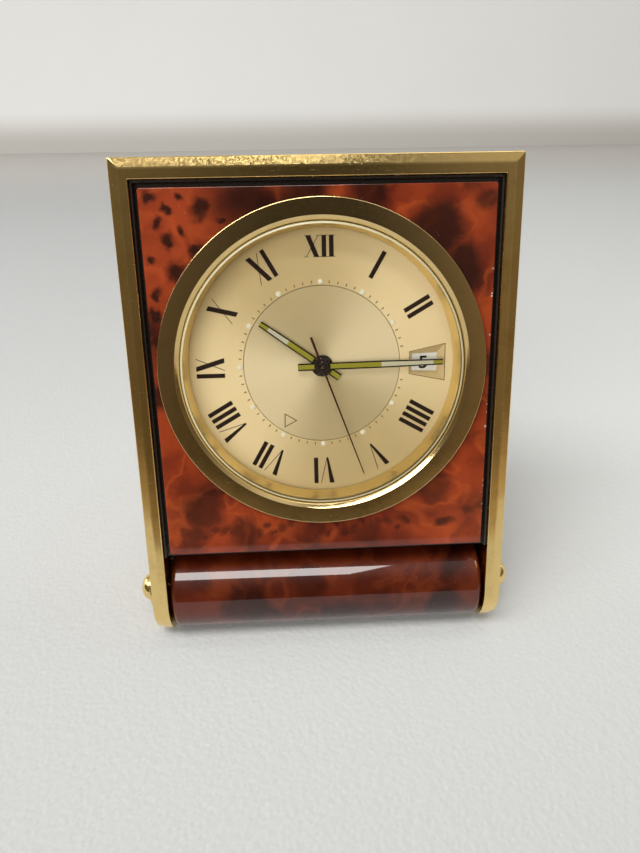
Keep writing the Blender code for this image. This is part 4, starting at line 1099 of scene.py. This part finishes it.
def make_lining(x0, x1, h0, h1):
    """A thin leather pad, softly pulled in at its edges, with a stitched line round it."""
    low, high = extent("cover_lining", COVER)
    columns, rows = 24, 26
    bm = bmesh.new()
    grid = {}
    for i in range(columns + 1):
        for j in range(rows + 1):
            u, v = i / columns, j / rows
            x, h = x0 + 0.05 + (x1 - x0 - 0.1) * u, h0 + 0.05 + (h1 - h0 - 0.1) * v
            edge = min(x - x0, x1 - x, h - h0, h1 - h)
            puff = min(1.0, edge / 3.0)
            lift = 0.45 * (1 - (1 - puff) ** 2)
            grid[i, j] = (bm.verts.new((x, high[1] - 0.15 - lift, h)), bm.verts.new((x, high[1], h)))
    for i in range(columns):
        for j in range(rows):
            for k in (0, 1):
                bm.faces.new([grid[p][k] for p in ((i, j), (i + 1, j), (i + 1, j + 1), (i, j + 1))])
    border = [(i, 0) for i in range(columns)] + [(columns, j) for j in range(rows)]
    border += [(i, rows) for i in range(columns, 0, -1)] + [(0, j) for j in range(rows, 0, -1)]
    for a, b in zip(border, border[1:] + border[:1]):
        bm.faces.new((grid[a][0], grid[b][0], grid[b][1], grid[a][1]))
    piece("cover_lining_pad", bm, LEATHER, "cover", "cover_lining", base=COVER, smooth=60)
    bm = bmesh.new()
    inset, pitch, length, width = 2.6, 1.5, 1.0, 0.22
    sides = [((x0 + inset, h0 + inset), (x1 - inset, h0 + inset)), ((x1 - inset, h0 + inset), (x1 - inset, h1 - inset)),
             ((x1 - inset, h1 - inset), (x0 + inset, h1 - inset)), ((x0 + inset, h1 - inset), (x0 + inset, h0 + inset))]
    surface = high[1] - 0.15 - 0.45 * (1 - (1 - inset / 3.0) ** 2)
    for (ax, ah), (bx, bh) in sides:
        reach = hypot(bx - ax, bh - ah)
        ux, uh = (bx - ax) / reach, (bh - ah) / reach
        for number in range(int(reach / pitch)):
            s = (number + 0.25) * pitch
            points = [(s, -width / 2), (s + length, -width / 2), (s + length, width / 2), (s, width / 2)]
            prism(bm, [(ax + ux * a - uh * b, ah + uh * a + ux * b) for a, b in points], surface - 0.07, surface + 0.05)
    thread = paint("lining_thread", (0.30, 0.14, 0.07), "leather", 0.6, 0.3, 6.0)
    piece("cover_stitching", bm, thread, "cover", base=COVER)


# ---------------------------------------------------------------- kept CAD nodes
KEPT = {
    "case_body": BLACK, "main_plate": CIRCLED, "train_bridge": SATIN, "balance_cock": SATIN, "pallet_cock": SATIN,
    "movement_pillar_1": BRASS, "movement_pillar_2": BRASS, "movement_pillar_3": BRASS, "minute_post": STEEL,
    "time_barrel": CIRCLED, "centre_wheel": CIRCLED, "cannon_pinion": STEEL, "third_wheel": CIRCLED,
    "seconds_wheel": CIRCLED, "escape_wheel": STEEL, "pallet_fork": STEEL, "balance_wheel": BRASS, "hairspring": BLUED,
    "regulator_lever": STEEL, "minute_wheel": CIRCLED, "hour_wheel": CIRCLED, "alarm_barrel": CIRCLED,
    "alarm_hammer": STEEL, "alarm_gong": BRONZE,
}


def dress_kept_nodes():
    for node, look in KEPT.items():
        obj = frame["nodes"][node]
        obj.data.materials.clear()
        obj.data.materials.append(look.material)


# ---------------------------------------------------------------- stage, light and camera
def stage_sheet(name, outline, look):
    """A sheet whose side view is outline, as (y, z), across the whole picture."""
    bm = bmesh.new()
    rows = [[bm.verts.new((x, y, z)) for x in (-1.8, 1.8)] for y, z in outline]
    for a, b in zip(rows, rows[1:]):
        bridge(bm, a, b, closed=False)
    mesh = as_mesh(name, bm)
    mesh.shade_smooth()
    sheet = new_object(name, mesh)
    mesh.materials.append(look.material)


def make_stage():
    """A pale table that ends a little way in front of the clock, and a wall behind it."""
    edge = -0.133
    stage_sheet("table", [(edge, -0.012), (edge + 0.002, -0.002), (edge + 0.004, 0.0), (0.80, 0.0)], table_top())
    stage_sheet("wall", [(0.78, -0.01), (0.79, 0.05), (0.86, 0.20), (0.95, 0.50), (1.0, 2.4)], wall_paint())


def area_light(name, location, target, size, radiance, colour=(1.0, 1.0, 1.0)):
    light = bpy.data.lights.new(name, "AREA")
    light.shape = "RECTANGLE"
    light.size, light.size_y = size
    light.energy = radiance * pi * size[0] * size[1]
    light.color = colour
    obj = new_object(name, light)
    obj.location = location
    obj.rotation_euler = (Vector(target) - Vector(location)).to_track_quat("-Z", "Y").to_euler()
    return obj


def ramp(tree, value, stops):
    node = tree.add("ValToRGB", {0: value})
    elements = node.color_ramp.elements
    while len(elements) < len(stops):
        elements.new(0.5)
    for element, (position, colour) in zip(elements, stops):
        element.position = position
        element.color = (*colour, 1.0)
    return node.outputs[0]


def make_room():
    """What reflections see: tones by height, dimmed by side, and a pale room behind the clock."""
    world = bpy.data.worlds.new("room")
    bpy.context.scene.world = world
    world.use_nodes = True
    room = Nodes(world.node_tree)
    towards = room.add("SeparateXYZ", {0: room.add("TexCoord").outputs["Generated"]}).outputs

    def share(axis, low, high):
        return room.add("MapRange", {"Value": towards[axis], "From Min": low, "From Max": high}).outputs[0]

    tones = ramp(room, share("Z", -1.0, 1.0), [
        (0.0, (0.20, 0.14, 0.09)), (0.42, (0.50, 0.38, 0.23)), (0.46, (0.17, 0.125, 0.08)),
        (0.58, (0.20, 0.155, 0.105)), (0.62, (0.20, 0.165, 0.12)), (0.70, (0.22, 0.19, 0.15)),
        (0.86, (0.50, 0.46, 0.40)), (1.0, (0.8, 0.78, 0.75))])
    greys = [(0.0, 0.6), (0.30, 0.65), (0.40, 0.5), (0.49, 0.22), (0.56, 0.22), (0.65, 0.85), (0.73, 1.0), (1.0, 0.6)]
    sides = ramp(room, share("X", -1.0, 1.0), [(position, (grey,) * 3) for position, grey in greys])
    front = room.scaled(tones, sides)
    seen = room.mix(share("Y", -0.1, 0.35), front, (0.80, 0.78, 0.74))
    camera_ray = room.add("LightPath").outputs["Is Camera Ray"]
    background = room.tree.nodes["Background"]
    room.put(background.inputs["Color"], room.mix(camera_ray, seen, (0.76, 0.75, 0.73)))


def make_light():
    window = area_light("window", (-0.44, -0.41, 0.90), (-0.44, -0.41, 0.0), (1.12, 0.40), 9.5, (1.0, 0.985, 0.96))
    window.rotation_euler = (0.0, 0.0, radians(-8.0))
    area_light("side_window", (-1.5, 0.35, 0.7), (0.0, 0.0, 0.05), (0.9, 0.9), 1.5, (0.95, 0.98, 1.0))
    area_light("wall_wash", (0.7, 0.25, 1.1), (0.5, 0.95, 0.45), (1.6, 0.4), 1.7)
    fill = area_light("front_fill", (-0.30, -0.85, 0.30), (0.0, 0.0, 0.05), (0.9, 0.5), 4.4, (1.0, 0.97, 0.92))
    fill.visible_glossy = False
    make_room()
    bpy.context.scene.view_settings.view_transform = "Standard"


def make_camera():
    """The photograph's viewpoint: close above the clock, a little to its left, with a short lens."""
    camera = bpy.data.cameras.new("camera")
    camera.lens, camera.sensor_width, camera.clip_start = 26.325, 36.0, 0.005
    obj = new_object("camera", camera)
    pitch, yaw, roll = 60.417, -2.217, -1.879
    turns = [Matrix.Rotation(radians(angle), 4, axis) for angle, axis in ((pitch, "X"), (yaw, "Y"), (roll, "Z"))]
    obj.matrix_world = Matrix.Translation((-0.00455, -0.11803, 0.08800)) @ turns[0] @ turns[1] @ turns[2]
    bpy.context.scene.camera = obj


make_frame()
make_panel()
make_roll()
make_pivot_screws()
make_bezel()
make_dial()
make_hands()
make_back()
make_cover()
dress_kept_nodes()
make_stage()
make_light()
make_camera()

bpy.context.view_layer.update()
